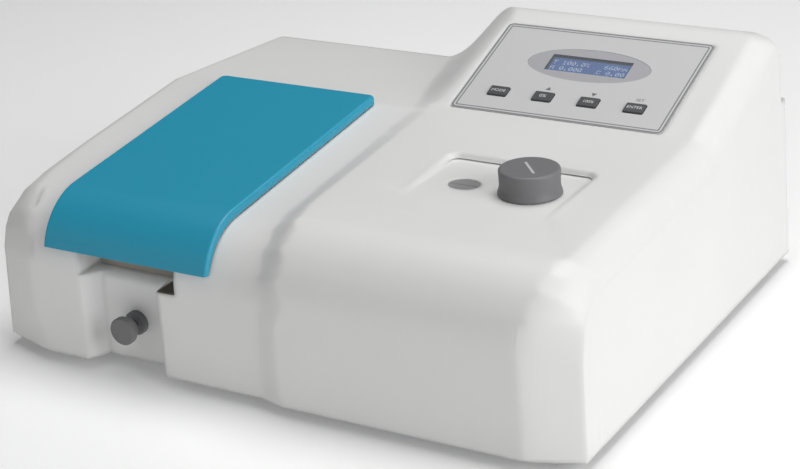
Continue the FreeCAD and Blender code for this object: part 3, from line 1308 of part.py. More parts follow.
def lamp_house():
    """Folded sheet box round the lamp, open below, with air slots in its roof and sides."""
    wall = LAMP_WALL
    block = box(LAMP_LEFT, LAMP_RIGHT, LAMP_FRONT, LAMP_BACK, PLATE_TOP, LAMP_TOP)
    house = block.cut(box(LAMP_LEFT + wall, LAMP_RIGHT - wall, LAMP_FRONT + wall, LAMP_BACK - wall, 0,
                          LAMP_TOP - wall))
    cuts = [rod(ENTRY_X, LAMP_FRONT - 1, BEAM_Z, BEAM_HOLE + 2, wall + 2, Y)]
    for y in air_slots():
        cuts.append(box(LAMP_LEFT + 12, LAMP_RIGHT - 12, y, y + AIR_SLOT, LAMP_TOP - 2 * wall, LAMP_TOP + 1))
        cuts.append(box(LAMP_LEFT - 1, LAMP_RIGHT + 1, y, y + AIR_SLOT, PLATE_TOP + 8, PLATE_TOP + 28))
    return without(house, cuts)


def halogen_lamp():
    """Small capsule lamp: flat pinch, round bulb with a pointed tip, and two pins in the socket."""
    y = (LAMP_FRONT + LAMP_BACK) / 2
    low = BEAM_Z - LAMP_DROP
    bulb = turned([(0, 7), (3, 7), (5.5, 10), (5.5, 17), (3.5, 21), (1, 23), (0, 23.5)], ENTRY_X, y, low, Z)
    pinch = box(ENTRY_X - 4.5, ENTRY_X + 4.5, y - 2, y + 2, low, low + 8)
    pins = [rod(ENTRY_X + side * LAMP_PIN_X, y, low - 6, LAMP_PIN, 7) for side in (-1, 1)]
    return fused([bulb, pinch] + pins)


def lamp_socket():
    y = (LAMP_FRONT + LAMP_BACK) / 2
    low = BEAM_Z - LAMP_DROP
    body = fused([rod(ENTRY_X, y, PLATE_TOP + 3, 9, low - PLATE_TOP - 3),
                  box(ENTRY_X - 16, ENTRY_X + 16, y - 9, y + 9, PLATE_TOP, PLATE_TOP + 3)])
    sockets = [rod(ENTRY_X + side * LAMP_PIN_X, y, low - 8, LAMP_PIN + SEAT, 9) for side in (-1, 1)]
    return without(body, sockets)


def transformer_place():
    """Left, right, front and back of the transformer with its coil, in front of the rear sockets."""
    back = DEPTH - TRANSFORMER_BEHIND
    return TRANSFORMER_LEFT, TRANSFORMER_RIGHT, back - TRANSFORMER_LENGTH, back


def transformer_core():
    """Stack of iron plates with two windows, standing on the floor."""
    left, right, front, back = transformer_place()
    top = PLATE_TOP + TRANSFORMER_HEIGHT
    limb = (right - left) / 6
    core = box(left, right, front + COIL_OVERHANG, back - COIL_OVERHANG, PLATE_TOP, top)
    windows = [box(low, low + limb + 1, front, back, PLATE_TOP + limb, top - limb)
               for low in (left + limb, right - 2 * limb - 1)]
    return without(core, windows)


def transformer_coil():
    """The wound coil through both windows, bulging out of the stack in front and behind."""
    left, right, front, back = transformer_place()
    limb = (right - left) / 6
    low = PLATE_TOP + limb + BODY_GAP
    high = PLATE_TOP + TRANSFORMER_HEIGHT - limb - BODY_GAP
    coil = rounded_box(left + limb + BODY_GAP, right - limb - BODY_GAP, front, back, low, high, COIL_CORNER)
    core_left, core_right = left + 2 * limb + COIL_PLAY, right - 2 * limb - COIL_PLAY
    return without(coil, [box(core_left, core_right, front + COIL_OVERHANG - BODY_GAP,
                              back - COIL_OVERHANG + BODY_GAP, 0, 2 * high)])


def board(place):
    left, right, front, back = place
    return box(left, right, front, back, BOARD_Z, BOARD_Z + BOARD)


def main_board():
    return board(main_place())


def power_board():
    return board(power_place())


def board_parts():
    """The tall pieces on the two boards: capacitors, a finned cooler, chips and plug rows."""
    z = BOARD_Z + BOARD
    left, right, front, back = power_place()
    middle = (front + back) / 2
    parts = [rod(left + along, middle, z, radius, height)
             for along, radius, height in ((22, 8, 25), (42, 8, 25), (60, 5, 14))]
    fins = [box(right - 46, right - 14, middle - 11, middle - 8, z, z + 26)]
    fins += [box(right - 46 + number * 7.25, right - 43 + number * 7.25, middle - 8, middle + 8, z, z + 26)
             for number in range(5)]
    parts.append(fused(fins))
    left, right, front, back = main_place()
    centre = (left + right) / 2
    for along, across, length, height in ((24, 24, 24, 3), (56, 10, 18, 3.5), (80, 10, 18, 3.5),
                                          (104, 8, 22, 9), (128, 8, 18, 9)):
        parts.append(box(centre - across / 2, centre + across / 2, front + along - length / 2,
                         front + along + length / 2, z, z + height))
    return Part.makeCompound(parts)


def rear_panel():
    """Steel plate behind the opening of the back wall, with its cut-outs and a row of air slots."""
    y = DEPTH - WALL - REAR_PLATE
    plate = rounded_box(REAR_LEFT - REAR_LAP, REAR_RIGHT + REAR_LAP, y, y + REAR_PLATE,
                        REAR_BOTTOM - REAR_LAP, REAR_TOP + REAR_LAP, 0.4)
    cuts = [rod(FUSE_X, y - 1, SOCKET_Z, FUSE_RADIUS + SOCKET_PLAY / 2, 5, Y)]
    for x, half_x, half_z in ((SOCKET_X, SOCKET_HALF_X, SOCKET_HALF_Z),
                              (SWITCH_X, SWITCH_HALF_X, SWITCH_HALF_Z)):
        half_x += SOCKET_PLAY
        half_z += SOCKET_PLAY
        cuts.append(box(x - half_x, x + half_x, y - 1, y + 5, SOCKET_Z - half_z, SOCKET_Z + half_z))
    for number in range(REAR_SLOTS):
        x = REAR_LEFT + REAR_SLOT_START + number * REAR_SLOT_PITCH
        high = REAR_TOP - REAR_SLOT_DROP
        cuts.append(box(x, x + REAR_SLOT, y - 1, y + 5, high - REAR_SLOT_LENGTH, high))
    return without(plate, cuts)


def mains_inlet():
    """The appliance inlet: flange, shrouded well and three flat pins."""
    y = DEPTH - WALL
    flange = rounded_plate(SOCKET_X, SOCKET_Z, 25, 11.5, y, FLANGE, 5)
    body = box(SOCKET_X - SOCKET_HALF_X, SOCKET_X + SOCKET_HALF_X, y - 24, y,
               SOCKET_Z - SOCKET_HALF_Z, SOCKET_Z + SOCKET_HALF_Z)
    inlet = fused([flange, body])
    well = box(SOCKET_X - 12, SOCKET_X + 12, y - 17, y + 5, SOCKET_Z - 8, SOCKET_Z + 8)
    well = well.cut(box(SOCKET_X - 30, SOCKET_X - 9.5, y - 30, y + 9, SOCKET_Z + 5.5, SOCKET_Z + 30))
    well = well.cut(box(SOCKET_X + 9.5, SOCKET_X + 30, y - 30, y + 9, SOCKET_Z + 5.5, SOCKET_Z + 30))
    inlet = inlet.cut(well)
    pins = [box(SOCKET_X + x - 1, SOCKET_X + x + 1, y - 17.5, y - 6, SOCKET_Z + z - 2, SOCKET_Z + z + 2)
            for x, z in ((-7, -2), (7, -2), (0, 2))]
    return fused([inlet] + pins)


def rounded_plate(x, z, half_x, half_z, y, thickness, radius):
    """A plate that lies against a back wall, with rounded corners."""
    plate = box(x - half_x, x + half_x, y, y + thickness, z - half_z, z + half_z)

    def along_depth(edge):
        return isinstance(edge.Curve, Part.Line) and abs(edge.Curve.Direction.y) > 0.99

    return round_edges(plate, radius, along_depth)


def fuse_holder():
    y = DEPTH - WALL
    holder = turned([(0, -22), (FUSE_RADIUS, -22), (FUSE_RADIUS, 0), (8, 0), (8, 1.2), (6.4, FLANGE),
                     (0, FLANGE)],
                    FUSE_X, y, SOCKET_Z, Y)
    return holder.cut(box(FUSE_X - 4, FUSE_X + 4, y + FLANGE - 0.8, y + 5, SOCKET_Z - 0.6, SOCKET_Z + 0.6))


def switch_frame():
    y = DEPTH - WALL
    flange = rounded_plate(SWITCH_X, SOCKET_Z, 7.8, 11.4, y, FLANGE - 0.4, 1.5)
    body = box(SWITCH_X - SWITCH_HALF_X, SWITCH_X + SWITCH_HALF_X, y - 20, y,
               SOCKET_Z - SWITCH_HALF_Z, SOCKET_Z + SWITCH_HALF_Z)
    frame = fused([flange, body])
    inner_x = ROCKER_WIDTH / 2 + BODY_GAP
    return frame.cut(box(SWITCH_X - inner_x, SWITCH_X + inner_x, y - 17, y + 5,
                         SOCKET_Z - SWITCH_HALF_Z + 1, SOCKET_Z + SWITCH_HALF_Z - 1))


def switch_rocker():
    """The rocker, drawn level and then tipped to its off position about its axle."""
    y = DEPTH - WALL - ROCKER_REACH
    points = [(-6, -4), (6, -4), (ROCKER_HALF, 4), (ROCKER_HALF, ROCKER_REACH + 0.2), (0, ROCKER_REACH - 0.6),
              (-ROCKER_HALF, ROCKER_REACH + 0.2), (-ROCKER_HALF, 4)]
    left = SWITCH_X - ROCKER_WIDTH / 2
    corners = [Vector(left, y + out, SOCKET_Z + up) for up, out in points]
    rocker = Part.Face(Part.makePolygon(corners + corners[:1])).extrude(X * ROCKER_WIDTH)
    axle = rod(left, y, SOCKET_Z, 1.5, ROCKER_WIDTH, X)
    rocker = fused([rocker, axle])
    rocker.rotate(Vector(SWITCH_X, y, SOCKET_Z), X, -SWITCH_TILT)
    return rocker


def control_panel():
    """The flat panel sheet with its openings, and the pillars under it that carry the boards."""
    plate = rounded_box(-PANEL_WIDTH / 2, PANEL_WIDTH / 2, -PANEL_LENGTH / 2, PANEL_LENGTH / 2,
                        PANEL_UNDER, PANEL_PROUD, PANEL_CORNER)
    places = [(side_u * PILLAR_U, DISPLAY_CENTRE_V + side_v * PILLAR_V)
              for side_u in (-1, 1) for side_v in (-1, 1)]
    places += [(u * KEY_PITCH, KEY_V) for u in (-1, 0, 1)]
    pillars = [rod(u, v, BOARD_N, PILLAR_THIN, BOARD_DROP + 1) for u, v in places]
    cuts = [ellipse_plate(0, DISPLAY_CENTRE_V, -5, DISPLAY_LONG / 2, DISPLAY_SHORT / 2, 10)]
    half_u = KEY_WIDTH / 2 + KEY_GAP
    half_v = KEY_LENGTH / 2 + KEY_GAP
    for number in range(KEY_COUNT):
        u = key_u(number)
        cuts.append(rounded_box(u - half_u, u + half_u, KEY_V - half_v, KEY_V + half_v, -5, 5, 1.2))
    return on_panel(fused([without(plate, cuts)] + pillars))


def display_window():
    """Smoked oval window over the display, let into the panel."""
    plate = ellipse_plate(0, DISPLAY_CENTRE_V, PANEL_UNDER, DISPLAY_LONG / 2 - SEAT, DISPLAY_SHORT / 2 - SEAT,
                          PANEL_SINK + PANEL_PROUD - 0.2)
    return on_panel(plate)


def lcd_module():
    """The display's board and its metal bezel."""
    half_v = PILLAR_V + 3
    plate = box(-LCD_BOARD_HALF, LCD_BOARD_HALF, DISPLAY_CENTRE_V - half_v, DISPLAY_CENTRE_V + half_v,
                BOARD_N - BOARD, BOARD_N)
    low = DISPLAY_CENTRE_V - LCD_HEIGHT / 2
    high = DISPLAY_CENTRE_V + LCD_HEIGHT / 2
    half_u = LCD_WIDTH / 2 + LCD_FRAME
    bezel = box(-half_u, half_u, low - LCD_FRAME + 1, high + LCD_FRAME - 1, BOARD_N, BOARD_N + LCD_THICKNESS)
    well = box(-LCD_WIDTH / 2, LCD_WIDTH / 2, low, high, BOARD_N + 2, BOARD_N + LCD_THICKNESS + 1)
    return on_panel(fused([plate, bezel]).cut(well))


def lcd_glass():
    plate = box(-LCD_WIDTH / 2 + SEAT, LCD_WIDTH / 2 - SEAT, DISPLAY_CENTRE_V - LCD_HEIGHT / 2 + SEAT,
                DISPLAY_CENTRE_V + LCD_HEIGHT / 2 - SEAT, BOARD_N + 2, BOARD_N + LCD_THICKNESS - 0.6)
    return on_panel(plate)


def key_board():
    """The small board under the keys, with a push switch for each."""
    half = 1.5 * KEY_PITCH + KEY_WIDTH / 2
    pieces = [box(-half, half, KEY_V - KEY_BOARD_HALF, KEY_V + KEY_BOARD_HALF, BOARD_N - BOARD, BOARD_N)]
    for number in range(KEY_COUNT):
        u = key_u(number)
        pieces.append(box(u - 3, u + 3, KEY_V - 3, KEY_V + 3, BOARD_N, BOARD_N + SWITCH_HEIGHT))
        pieces.append(rod(u, KEY_V, BOARD_N, 1.6, SWITCH_HEIGHT + PLUNGER))
    return on_panel(fused(pieces))


def key(number):
    """One key: a cap with softened edges, a flange that keeps it in, and the stem to its switch."""
    u = key_u(number)
    cap = rounded_box(u - KEY_WIDTH / 2, u + KEY_WIDTH / 2, KEY_V - KEY_LENGTH / 2, KEY_V + KEY_LENGTH / 2,
                      PANEL_UNDER - BODY_GAP, KEY_TOP, 1)
    cap = round_edges(cap, 0.5, lambda edge: edge.CenterOfMass.z > KEY_TOP - 0.01)
    half_u = KEY_WIDTH / 2 + KEY_FLANGE
    half_v = KEY_LENGTH / 2 + KEY_FLANGE
    flange = box(u - half_u, u + half_u, KEY_V - half_v, KEY_V + half_v,
                 PANEL_UNDER - BODY_GAP - 1, PANEL_UNDER - BODY_GAP)
    low = BOARD_N + SWITCH_HEIGHT + PLUNGER + KEY_TRAVEL + BODY_GAP
    stem = box(u - KEY_STEM, u + KEY_STEM, KEY_V - KEY_STEM, KEY_V + KEY_STEM, low, PANEL_UNDER - BODY_GAP)
    return on_panel(fused([cap, flange, stem]))


def pieces():
    """Every piece of the instrument by its node name."""
    made = {
        "top_cover": top_cover(),
        "base_plate": base_plate(),
        "rubber_feet": rubber_feet(),
        "foot_screws": foot_screws(),
        "optical_bench": optical_bench(),
        "chamber_liner": chamber_liner(),
        "carriage_rails": carriage_rails(),
        "cell_sled": cell_sled(),
        "cell_rack": cell_rack(),
        "pull_rod": pull_rod(),
        "pull_knob": pull_knob(),
        "rod_bush": rod_bush(),
        "sample_lid": sample_lid(),
        "light_shield": light_shield(),
        "lid_seal": lid_seal(),
        "hinge_brackets": hinge_brackets(),
        "hinge_pins": hinge_pins(),
        "wavelength_knob": wavelength_knob(),
        "knob_shaft": knob_shaft(),
        "knob_bush": knob_bush(),
        "shaft_bearing": shaft_bearing(),
        "wavelength_dial": wavelength_dial(),
        "reading_window": reading_window(),
        "drive_pinion": drive_pinion(),
        "sector_gear": sector_gear(),
        "grating_holder": grating_holder(),
        "grating_plate": grating_plate(),
        "monochromator_case": monochromator_case(),
        "monochromator_lid": monochromator_lid(),
        "slit_plates": slit_plates(),
        "collimating_mirror": collimating_mirror(),
        "focusing_mirror": focusing_mirror(),
        "mirror_mounts": mirror_mounts(),
        "beam_tubes": beam_tubes(),
        "beam_lenses": beam_lenses(),
        "detector_housing": detector_housing(),
        "detector_board": detector_board(),
        "photodiode": photodiode(),
        "lamp_house": lamp_house(),
        "halogen_lamp": halogen_lamp(),
        "lamp_socket": lamp_socket(),
        "transformer_core": transformer_core(),
        "transformer_coil": transformer_coil(),
        "main_board": main_board(),
        "power_board": power_board(),
        "board_parts": board_parts(),
        "rear_panel": rear_panel(),
        "mains_inlet": mains_inlet(),
        "fuse_holder": fuse_holder(),
        "switch_frame": switch_frame(),
        "switch_rocker": switch_rocker(),
        "control_panel": control_panel(),
        "display_window": display_window(),
        "lcd_module": lcd_module(),
        "lcd_glass": lcd_glass(),
        "key_board": key_board(),
    }
    for number in range(KEY_COUNT):
        made[f"key_{number + 1}"] = key(number)
    return made


def main():
    os.makedirs("parts", exist_ok=True)
    for name, shape in pieces().items():
        placed = seat_on_floor(shape)
        print(name, placed.isValid(), "solids", len(placed.Solids), "faces", len(placed.Faces),
              "volume", round(placed.Volume))
        placed.exportStep(f"parts/{name}.step")


main()
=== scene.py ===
# %% [markdown]
# A bench spectrophotometer, dressed for the camera.
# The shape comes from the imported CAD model, which is loaded as a fixed frame. This lesson gives each
# piece the finish that the real one has, adds the small printed and moulded details that a maker
# would not machine, and then sets up the floor, the light and the camera.

# %% Load the frame
import json
import math

import bpy
from mathutils import Matrix, Vector


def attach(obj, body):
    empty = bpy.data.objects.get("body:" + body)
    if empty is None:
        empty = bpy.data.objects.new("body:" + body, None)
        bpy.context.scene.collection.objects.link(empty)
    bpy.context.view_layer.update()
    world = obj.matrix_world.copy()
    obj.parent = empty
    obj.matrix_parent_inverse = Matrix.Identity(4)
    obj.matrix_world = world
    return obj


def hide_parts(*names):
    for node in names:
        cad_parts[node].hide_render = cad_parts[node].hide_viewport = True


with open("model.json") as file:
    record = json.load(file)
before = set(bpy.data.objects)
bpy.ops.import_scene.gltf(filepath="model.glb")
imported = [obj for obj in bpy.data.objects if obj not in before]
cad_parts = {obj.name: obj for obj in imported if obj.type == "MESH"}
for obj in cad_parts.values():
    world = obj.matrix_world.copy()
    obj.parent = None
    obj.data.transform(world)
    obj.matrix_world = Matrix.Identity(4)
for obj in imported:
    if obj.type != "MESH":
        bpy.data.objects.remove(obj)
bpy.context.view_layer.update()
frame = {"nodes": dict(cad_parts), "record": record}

NODES = frame["nodes"]
MM = 0.001

# %% [markdown]
# The drawing of the instrument counts back from its front face and up from the lower edge of the
# cover. The frame counts from the middle of the floor. One helper turns a place on the drawing, in
# millimetres, into a place in the frame, in metres, and another does so for the sloping panel.

# %% Places on the drawing and on the panel
HALF_DEPTH = 186.0
FOOT_HEIGHT = 8.0
PANEL_SLOPE = 0.3404
PANEL_CENTRE = (101.85, 285.5, 149.66)


def place(x, y, z):
    """A point of the drawing in the frame."""
    return Vector((x, y - HALF_DEPTH, z + FOOT_HEIGHT)) * MM


def panel_matrix(u, v, out, turn=0.0):
    """Where a flat piece lies on the sloping panel: u to the right, v up the slope, out of the panel."""
    lean = Matrix.Rotation(math.atan(PANEL_SLOPE), 4, "X")
    shift = Matrix.Translation(Vector((u, v, out)) * MM)
    spin = Matrix.Rotation(turn, 4, "Z")
    return Matrix.Translation(place(*PANEL_CENTRE)) @ lean @ shift @ spin


def in_scene(name, data):
    """An object for a mesh, a curve, a light or a camera, linked to the scene."""
    made = bpy.data.objects.new(name, data)
    bpy.context.scene.collection.objects.link(made)
    return made


print("panel centre", tuple(round(c, 4) for c in place(*PANEL_CENTRE)))

# %% [markdown]
# A finish is a small network of shader nodes. Written by hand that takes a line for every link, so
# one class wraps an output and lets Python's own arithmetic add the Math nodes. The other makes any
# node from its type, its settings and what goes into its sockets.

# %% A shader network written as arithmetic
class Signal:
    """The output of a shader node. Arithmetic on it adds Math nodes."""

    def __init__(self, paint, socket):
        self.paint = paint
        self.socket = socket

    def math(self, operation, first, second):
        return self.paint.node("ShaderNodeMath", {"operation": operation}, first, second)

    def __add__(self, other):
        return self.math("ADD", self, other)

    def __sub__(self, other):
        return self.math("SUBTRACT", self, other)

    def __mul__(self, other):
        return self.math("MULTIPLY", self, other)

    __radd__ = __add__

    def limited(self):
        """Kept between 0 and 1."""
        return self.paint.node("ShaderNodeClamp", {}, self)


class Paint:
    """One material and its nodes."""

    def __init__(self, name):
        self.material = bpy.data.materials.new(name)
        self.material.use_nodes = True
        self.nodes = self.material.node_tree.nodes
        self.shader = self.nodes["Principled BSDF"]
        self.coords = self.node("ShaderNodeTexCoord", {}, out="Object")

    def feed(self, socket, value):
        if isinstance(value, Signal):
            self.material.node_tree.links.new(value.socket, socket)
        else:
            socket.default_value = value

    def node(self, kind, settings, *values, out=None, **named):
        """Makes a node: its settings first, then its sockets in order or by name."""
        made = self.nodes.new(kind)
        for name, value in settings.items():
            setattr(made, name, value)
        sockets = [socket for socket in made.inputs if socket.enabled]
        for socket, value in zip(sockets, values):
            self.feed(socket, value)
        for name, value in named.items():
            self.feed(next(s for s in sockets if s.name == name.replace("_", " ")), value)
        outputs = [socket for socket in made.outputs if socket.enabled]
        if out:
            outputs = [socket for socket in outputs if socket.name == out]
        return Signal(self, outputs[0])

    def noise(self, size, detail=2.0, at=None):
        """Soft noise whose patches are about that many millimetres wide."""
        return self.node("ShaderNodeTexNoise", {}, Vector=at or self.coords, Scale=1 / (size * MM),
                         Detail=detail)

    def blend(self, share, first, second):
        """A mix of two colours."""
        return self.node("ShaderNodeMix", {"data_type": "RGBA"}, share, first, second)

    def set(self, **values):
        for name, value in values.items():
            self.feed(self.shader.inputs[name.replace("_", " ")], value)

    def bump(self, height, depth, blend=0.0):
        """Relief from a height signal, that many millimetres deep, on edges that blend over a radius."""
        made = self.node("ShaderNodeBump", {}, Strength=1.0, Distance=depth * MM, Height=height, out="Normal")
        if blend:
            soft = self.node("ShaderNodeBevel", {"samples": 8}, Radius=blend * MM)
            self.feed(made.socket.node.inputs["Normal"], soft)
        self.set(Normal=made)


def tone(red, green=None, blue=None):
    """A colour from the 0 to 255 tones of a screen, as the linear values that a shader takes."""
    tones = (red, green if green is not None else red, blue if blue is not None else red)
    linear = [((t / 255 + 0.055) / 1.055) ** 2.4 if t > 10 else t / 255 / 12.92 for t in tones]
    return (*linear, 1.0)


print("shader helpers ready")

# %% [markdown]
# The cover is moulded in a warm light grey. Its mould is spark-eroded, which leaves a fine even
# grain that kills reflections. Colour that wanders by a percent or so over a hand's width keeps a
# large plain surface from looking computed. A Bevel node lets the cover's shading run on over its
# edges for a few millimetres, as on a soft moulding. The same recipe, with other tones, makes the
# panel sheet, the keys and the knobs.

# %% Moulded plastics
FINISHES = {}
HAND_WIDTH, GLOSS_PATCH = 120, 9
GLOSS_SPREAD = 0.10


def moulded(name, colour, rough, grain=0.55, relief=0.012, wander=0.03, blend=0.0):
    """Grained plastic: a slightly wandering colour, uneven gloss and the mould's fine grain."""
    paint = Paint(name)
    cloud = paint.noise(HAND_WIDTH, 3)
    fine = paint.noise(grain, 2)
    lighter = tuple(min(1.0, c * (1 + wander)) for c in colour[:3]) + (1,)
    darker = tuple(c * (1 - wander) for c in colour[:3]) + (1,)
    paint.set(Base_Color=paint.blend(cloud, darker, lighter))
    paint.set(Roughness=rough + (paint.noise(GLOSS_PATCH, 3) - 0.5) * GLOSS_SPREAD)
    paint.bump(fine, relief, blend)
    FINISHES[name] = paint.material
    return paint


COVER_BLEND = 6.0
moulded("cover_plastic", tone(232, 232, 231), 0.46, blend=COVER_BLEND)
moulded("lid_plastic", tone(43, 155, 186), 0.42, grain=0.8, relief=0.003, wander=0.02)
moulded("panel_plastic", tone(206, 206, 206), 0.42, grain=0.35, relief=0.006, wander=0.02)
moulded("key_plastic", tone(74, 75, 77), 0.5, grain=0.4)
moulded("knob_plastic", tone(122, 122, 124), 0.5, grain=0.6, relief=0.018)
moulded("pull_plastic", tone(114, 114, 115), 0.55, grain=0.9, relief=0.04)
moulded("switch_plastic", tone(26), 0.3, grain=0.5, relief=0.006)
moulded("black_rubber", tone(30), 0.8, grain=1.1, relief=0.05)
moulded("board_pieces", tone(38, 38, 40), 0.5, grain=0.5)
moulded("lamp_ceramic", tone(228, 224, 208), 0.35, grain=1.5, relief=0.01)
moulded("coil_tape", tone(214, 176, 70), 0.4, grain=3.0, relief=0.03)
print("plastics", sorted(FINISHES))

# %% [markdown]
# Metals differ from plastics in that their colour is their reflection. Brushed and rolled sheet
# shows streaks along one direction, so the noise is stretched with a Mapping node. Castings are
# sand-blasted and show an even fine grain.

# %% Metals
PALM_WIDTH = 25
CLOUD_SHARE = 0.6
DARKEST = 0.86
STREAK_SPREAD = 0.16


def streaks(paint, length, width, along):
    """Noise stretched along x, y or z into fine streaks, sizes in millimetres."""
    stretch = [1.0, 1.0, 1.0]
    stretch["xyz".index(along)] = width / length
    mapped = paint.node("ShaderNodeMapping", {}, Vector=paint.coords, Scale=stretch)
    return paint.noise(width, 2, at=mapped)


def metal(name, colour, rough, relief=0.006, along="y", length=20, width=0.5):
    paint = Paint(name)
    lines = streaks(paint, length, width, along)
    cloud = paint.noise(PALM_WIDTH, 3)
    darker = tuple(c * DARKEST for c in colour[:3]) + (1,)
    share = (cloud * CLOUD_SHARE + lines * (1 - CLOUD_SHARE)).limited()
    paint.set(Base_Color=paint.blend(share, darker, colour), Metallic=1.0)
    paint.set(Roughness=rough + (lines - 0.5) * STREAK_SPREAD)
    paint.bump(lines, relief)
    FINISHES[name] = paint.material


metal("bright_steel", tone(200, 200, 202), 0.24, along="y", length=2, width=0.3)
metal("cast_aluminium", tone(176, 178, 180), 0.52, relief=0.02, length=0.9, width=0.9)
metal("zinc_sheet", tone(182, 184, 184), 0.38, along="x", length=30)
metal("brass_parts", tone(206, 168, 92), 0.28, along="z", length=1, width=0.4)
metal("black_anodised", tone(40, 40, 42), 0.5, length=1, width=0.6)
metal("core_steel", tone(84, 82, 80), 0.55, along="x", length=60, width=0.5)
metal("mirror_coating", tone(244), 0.03, relief=0.0002)
print("finishes so far", len(FINISHES))

# %% [markdown]
# The rest have something of their own: the window over the dial and the display is smoked clear
# plastic, the display glows blue from behind, the lenses are clear glass, and the circuit boards
# are green with tracks just under the lacquer.

# %% Windows, display, glass and boards
def clear(name, colour, rough, alpha):
    """Smoked or clear plastic: a thin tinted sheet that lets most of what lies behind show."""
    paint = Paint(name)
    haze = paint.noise(14, 2)
    paint.set(Base_Color=colour, Roughness=rough + haze * 0.04, Alpha=alpha + (haze - 0.5) * 0.04)
    FINISHES[name] = paint.material


clear("smoked_window", tone(150, 156, 166), 0.12, 0.34)
clear("reading_lens", tone(190, 190, 191), 0.2, 0.62)
clear("optical_glass", tone(225, 238, 240), 0.03, 0.35)

paint = Paint("blue_display")
glow = paint.noise(30, 1)
colour = paint.blend(glow, tone(38, 84, 166), tone(84, 132, 200))
paint.set(Base_Color=colour, Emission_Color=colour, Roughness=0.3)
paint.shader.inputs["Emission Strength"].default_value = 0.35
FINISHES["blue_display"] = paint.material

paint = Paint("green_board")
tracks = paint.node("ShaderNodeTexBrick", {}, Vector=paint.coords, Scale=180.0, Mortar_Size=0.06, out="Fac")
paint.set(Base_Color=paint.blend(tracks, tone(20, 96, 52), tone(44, 132, 78)), Roughness=0.32)
paint.bump(tracks, 0.03)
FINISHES["green_board"] = paint.material

moulded("dial_plate", tone(150, 150, 147), 0.5, relief=0.004)
print("all finishes", len(FINISHES))

# %% [markdown]
# The record says which slot each node takes its finish from, so one loop dresses them all. A packed
# node is loose triangles: a Weld joins them, smooth shading rounds them, and an Edge Split keeps
# the real corners sharp. Normals weighted by area keep a broad flat face flat beside a round edge.
# Two nodes differ from their slot: the lens over the dial is paler than the window of the display,
# and the pull knob is rougher than the other knobs.

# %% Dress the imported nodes
CORNER = math.radians(42)
WELD_REACH = 0.01 * MM
FLAT_FACE_WEIGHT = 60


def soften(piece):
    """Smooth shading with the true corners kept."""
    for polygon in piece.data.polygons:
        polygon.use_smooth = True
    weld = piece.modifiers.new("joined", "WELD")
    weld.merge_threshold = WELD_REACH
    split = piece.modifiers.new("corners", "EDGE_SPLIT")
    split.split_angle = CORNER
    weighted = piece.modifiers.new("broad_faces_stay_flat", "WEIGHTED_NORMAL")
    weighted.weight = FLAT_FACE_WEIGHT


def dress(piece, finish):
    piece.data.materials.clear()
    piece.data.materials.append(FINISHES[finish])


for row in frame["record"]["subparts"]:
    node = NODES[row["node"]]
    dress(node, row["material_slot"])
    soften(node)
dress(NODES["reading_window"], "reading_lens")
dress(NODES["pull_knob"], "pull_plastic")

# %% [markdown]
# Printed lines, legends and inlays are flat shapes with a little thickness. A flat curve fills
# itself between its outlines, holes included, so one helper takes closed outlines and gives a thin
# plate as a mesh, with its place in the mesh and its object at the origin.

# %% Flat shapes
def settle(piece, matrix, body, finish):
    """Puts a piece's place in its mesh, gives it its finish and lets it ride."""
    piece.data.transform(matrix)
    dress(piece, finish)
    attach(piece, body)
    return piece


def from_curve(curve, name):
    """A mesh object from a curve or text."""
    maker = in_scene(name + "_maker", curve)
    evaluated = maker.evaluated_get(bpy.context.evaluated_depsgraph_get())
    mesh = bpy.data.meshes.new_from_object(evaluated)
    bpy.data.objects.remove(maker)
    bpy.data.curves.remove(curve)
    mesh.name = name
    return in_scene(name, mesh)


def flat(name, outlines, thickness, matrix, body, finish):
    """A thin plate from closed outlines of (u, v) points in millimetres. An outline in another is a hole."""
    curve = bpy.data.curves.new(name, "CURVE")
    curve.dimensions = "2D"
    curve.fill_mode = "BOTH"
    curve.extrude = thickness / 2 * MM
    for outline in outlines:
        spline = curve.splines.new("POLY")
        spline.points.add(len(outline) - 1)
        for point, (u, v) in zip(spline.points, outline):
            point.co = (u * MM, v * MM, 0, 1)
        spline.use_cyclic_u = True
    return settle(from_curve(curve, name), matrix, body, finish)


def rounded(half_u, half_v, radius, steps=8):
    """Outline of a rounded rectangle round the origin."""
    points = []
    for corner, (side_u, side_v) in enumerate(((1, 1), (-1, 1), (-1, -1), (1, -1))):
        for step in range(steps + 1):
            angle = math.pi / 2 * (corner + step / steps)
            points.append((side_u * (half_u - radius) + radius * math.cos(angle),
                           side_v * (half_v - radius) + radius * math.sin(angle)))
    return points


def oval(half_u, half_v, steps=72):
    return [(half_u * math.cos(2 * math.pi * n / steps), half_v * math.sin(2 * math.pi * n / steps))
            for n in range(steps)]


print("outline helpers ready")

# %% [markdown]
# The panel sheet carries two grey lines. The one at its edge is painted shade of the groove round the sheet,
# and the one just inside it is a printed line. The oval window is printed grey from behind, all but a clear
# field in front of the display. The prints are thin films, and finer ink has its middle just above the face
# that carries it.

# %% Printed line and painted edge shade of the panel
moulded("print_dark", tone(112, 113, 115), 0.45, relief=0.002)
# This grey serves both the printed line and the painted shade at the sheet's edge.
moulded("print_and_edge_shade_grey", tone(134, 135, 137), 0.45, relief=0.002)
moulded("print_pale", tone(216), 0.5, relief=0.002)
moulded("window_tint", tone(178, 178, 182), 0.3, relief=0.002)
PANEL_HALF = (82.65, 52.5)
OVAL_V = 12.0
OVAL_HALF = (48.3, 18.8)
FILM, INK = 0.06, 0.05
INK_MIDDLE = 0.03
SHEET_TOP = 0.5
WINDOW_TOP = 0.3
SCREEN_HALF = (31.0, 8.5)
FIELD_MARGIN, FIELD_CORNER = 1.0, 0.8


def panel_film(name, outlines, u, v, out, finish, turn=0.0):
    flat(name, outlines, FILM, panel_matrix(u, v, out + FILM / 2, turn), "case", finish)
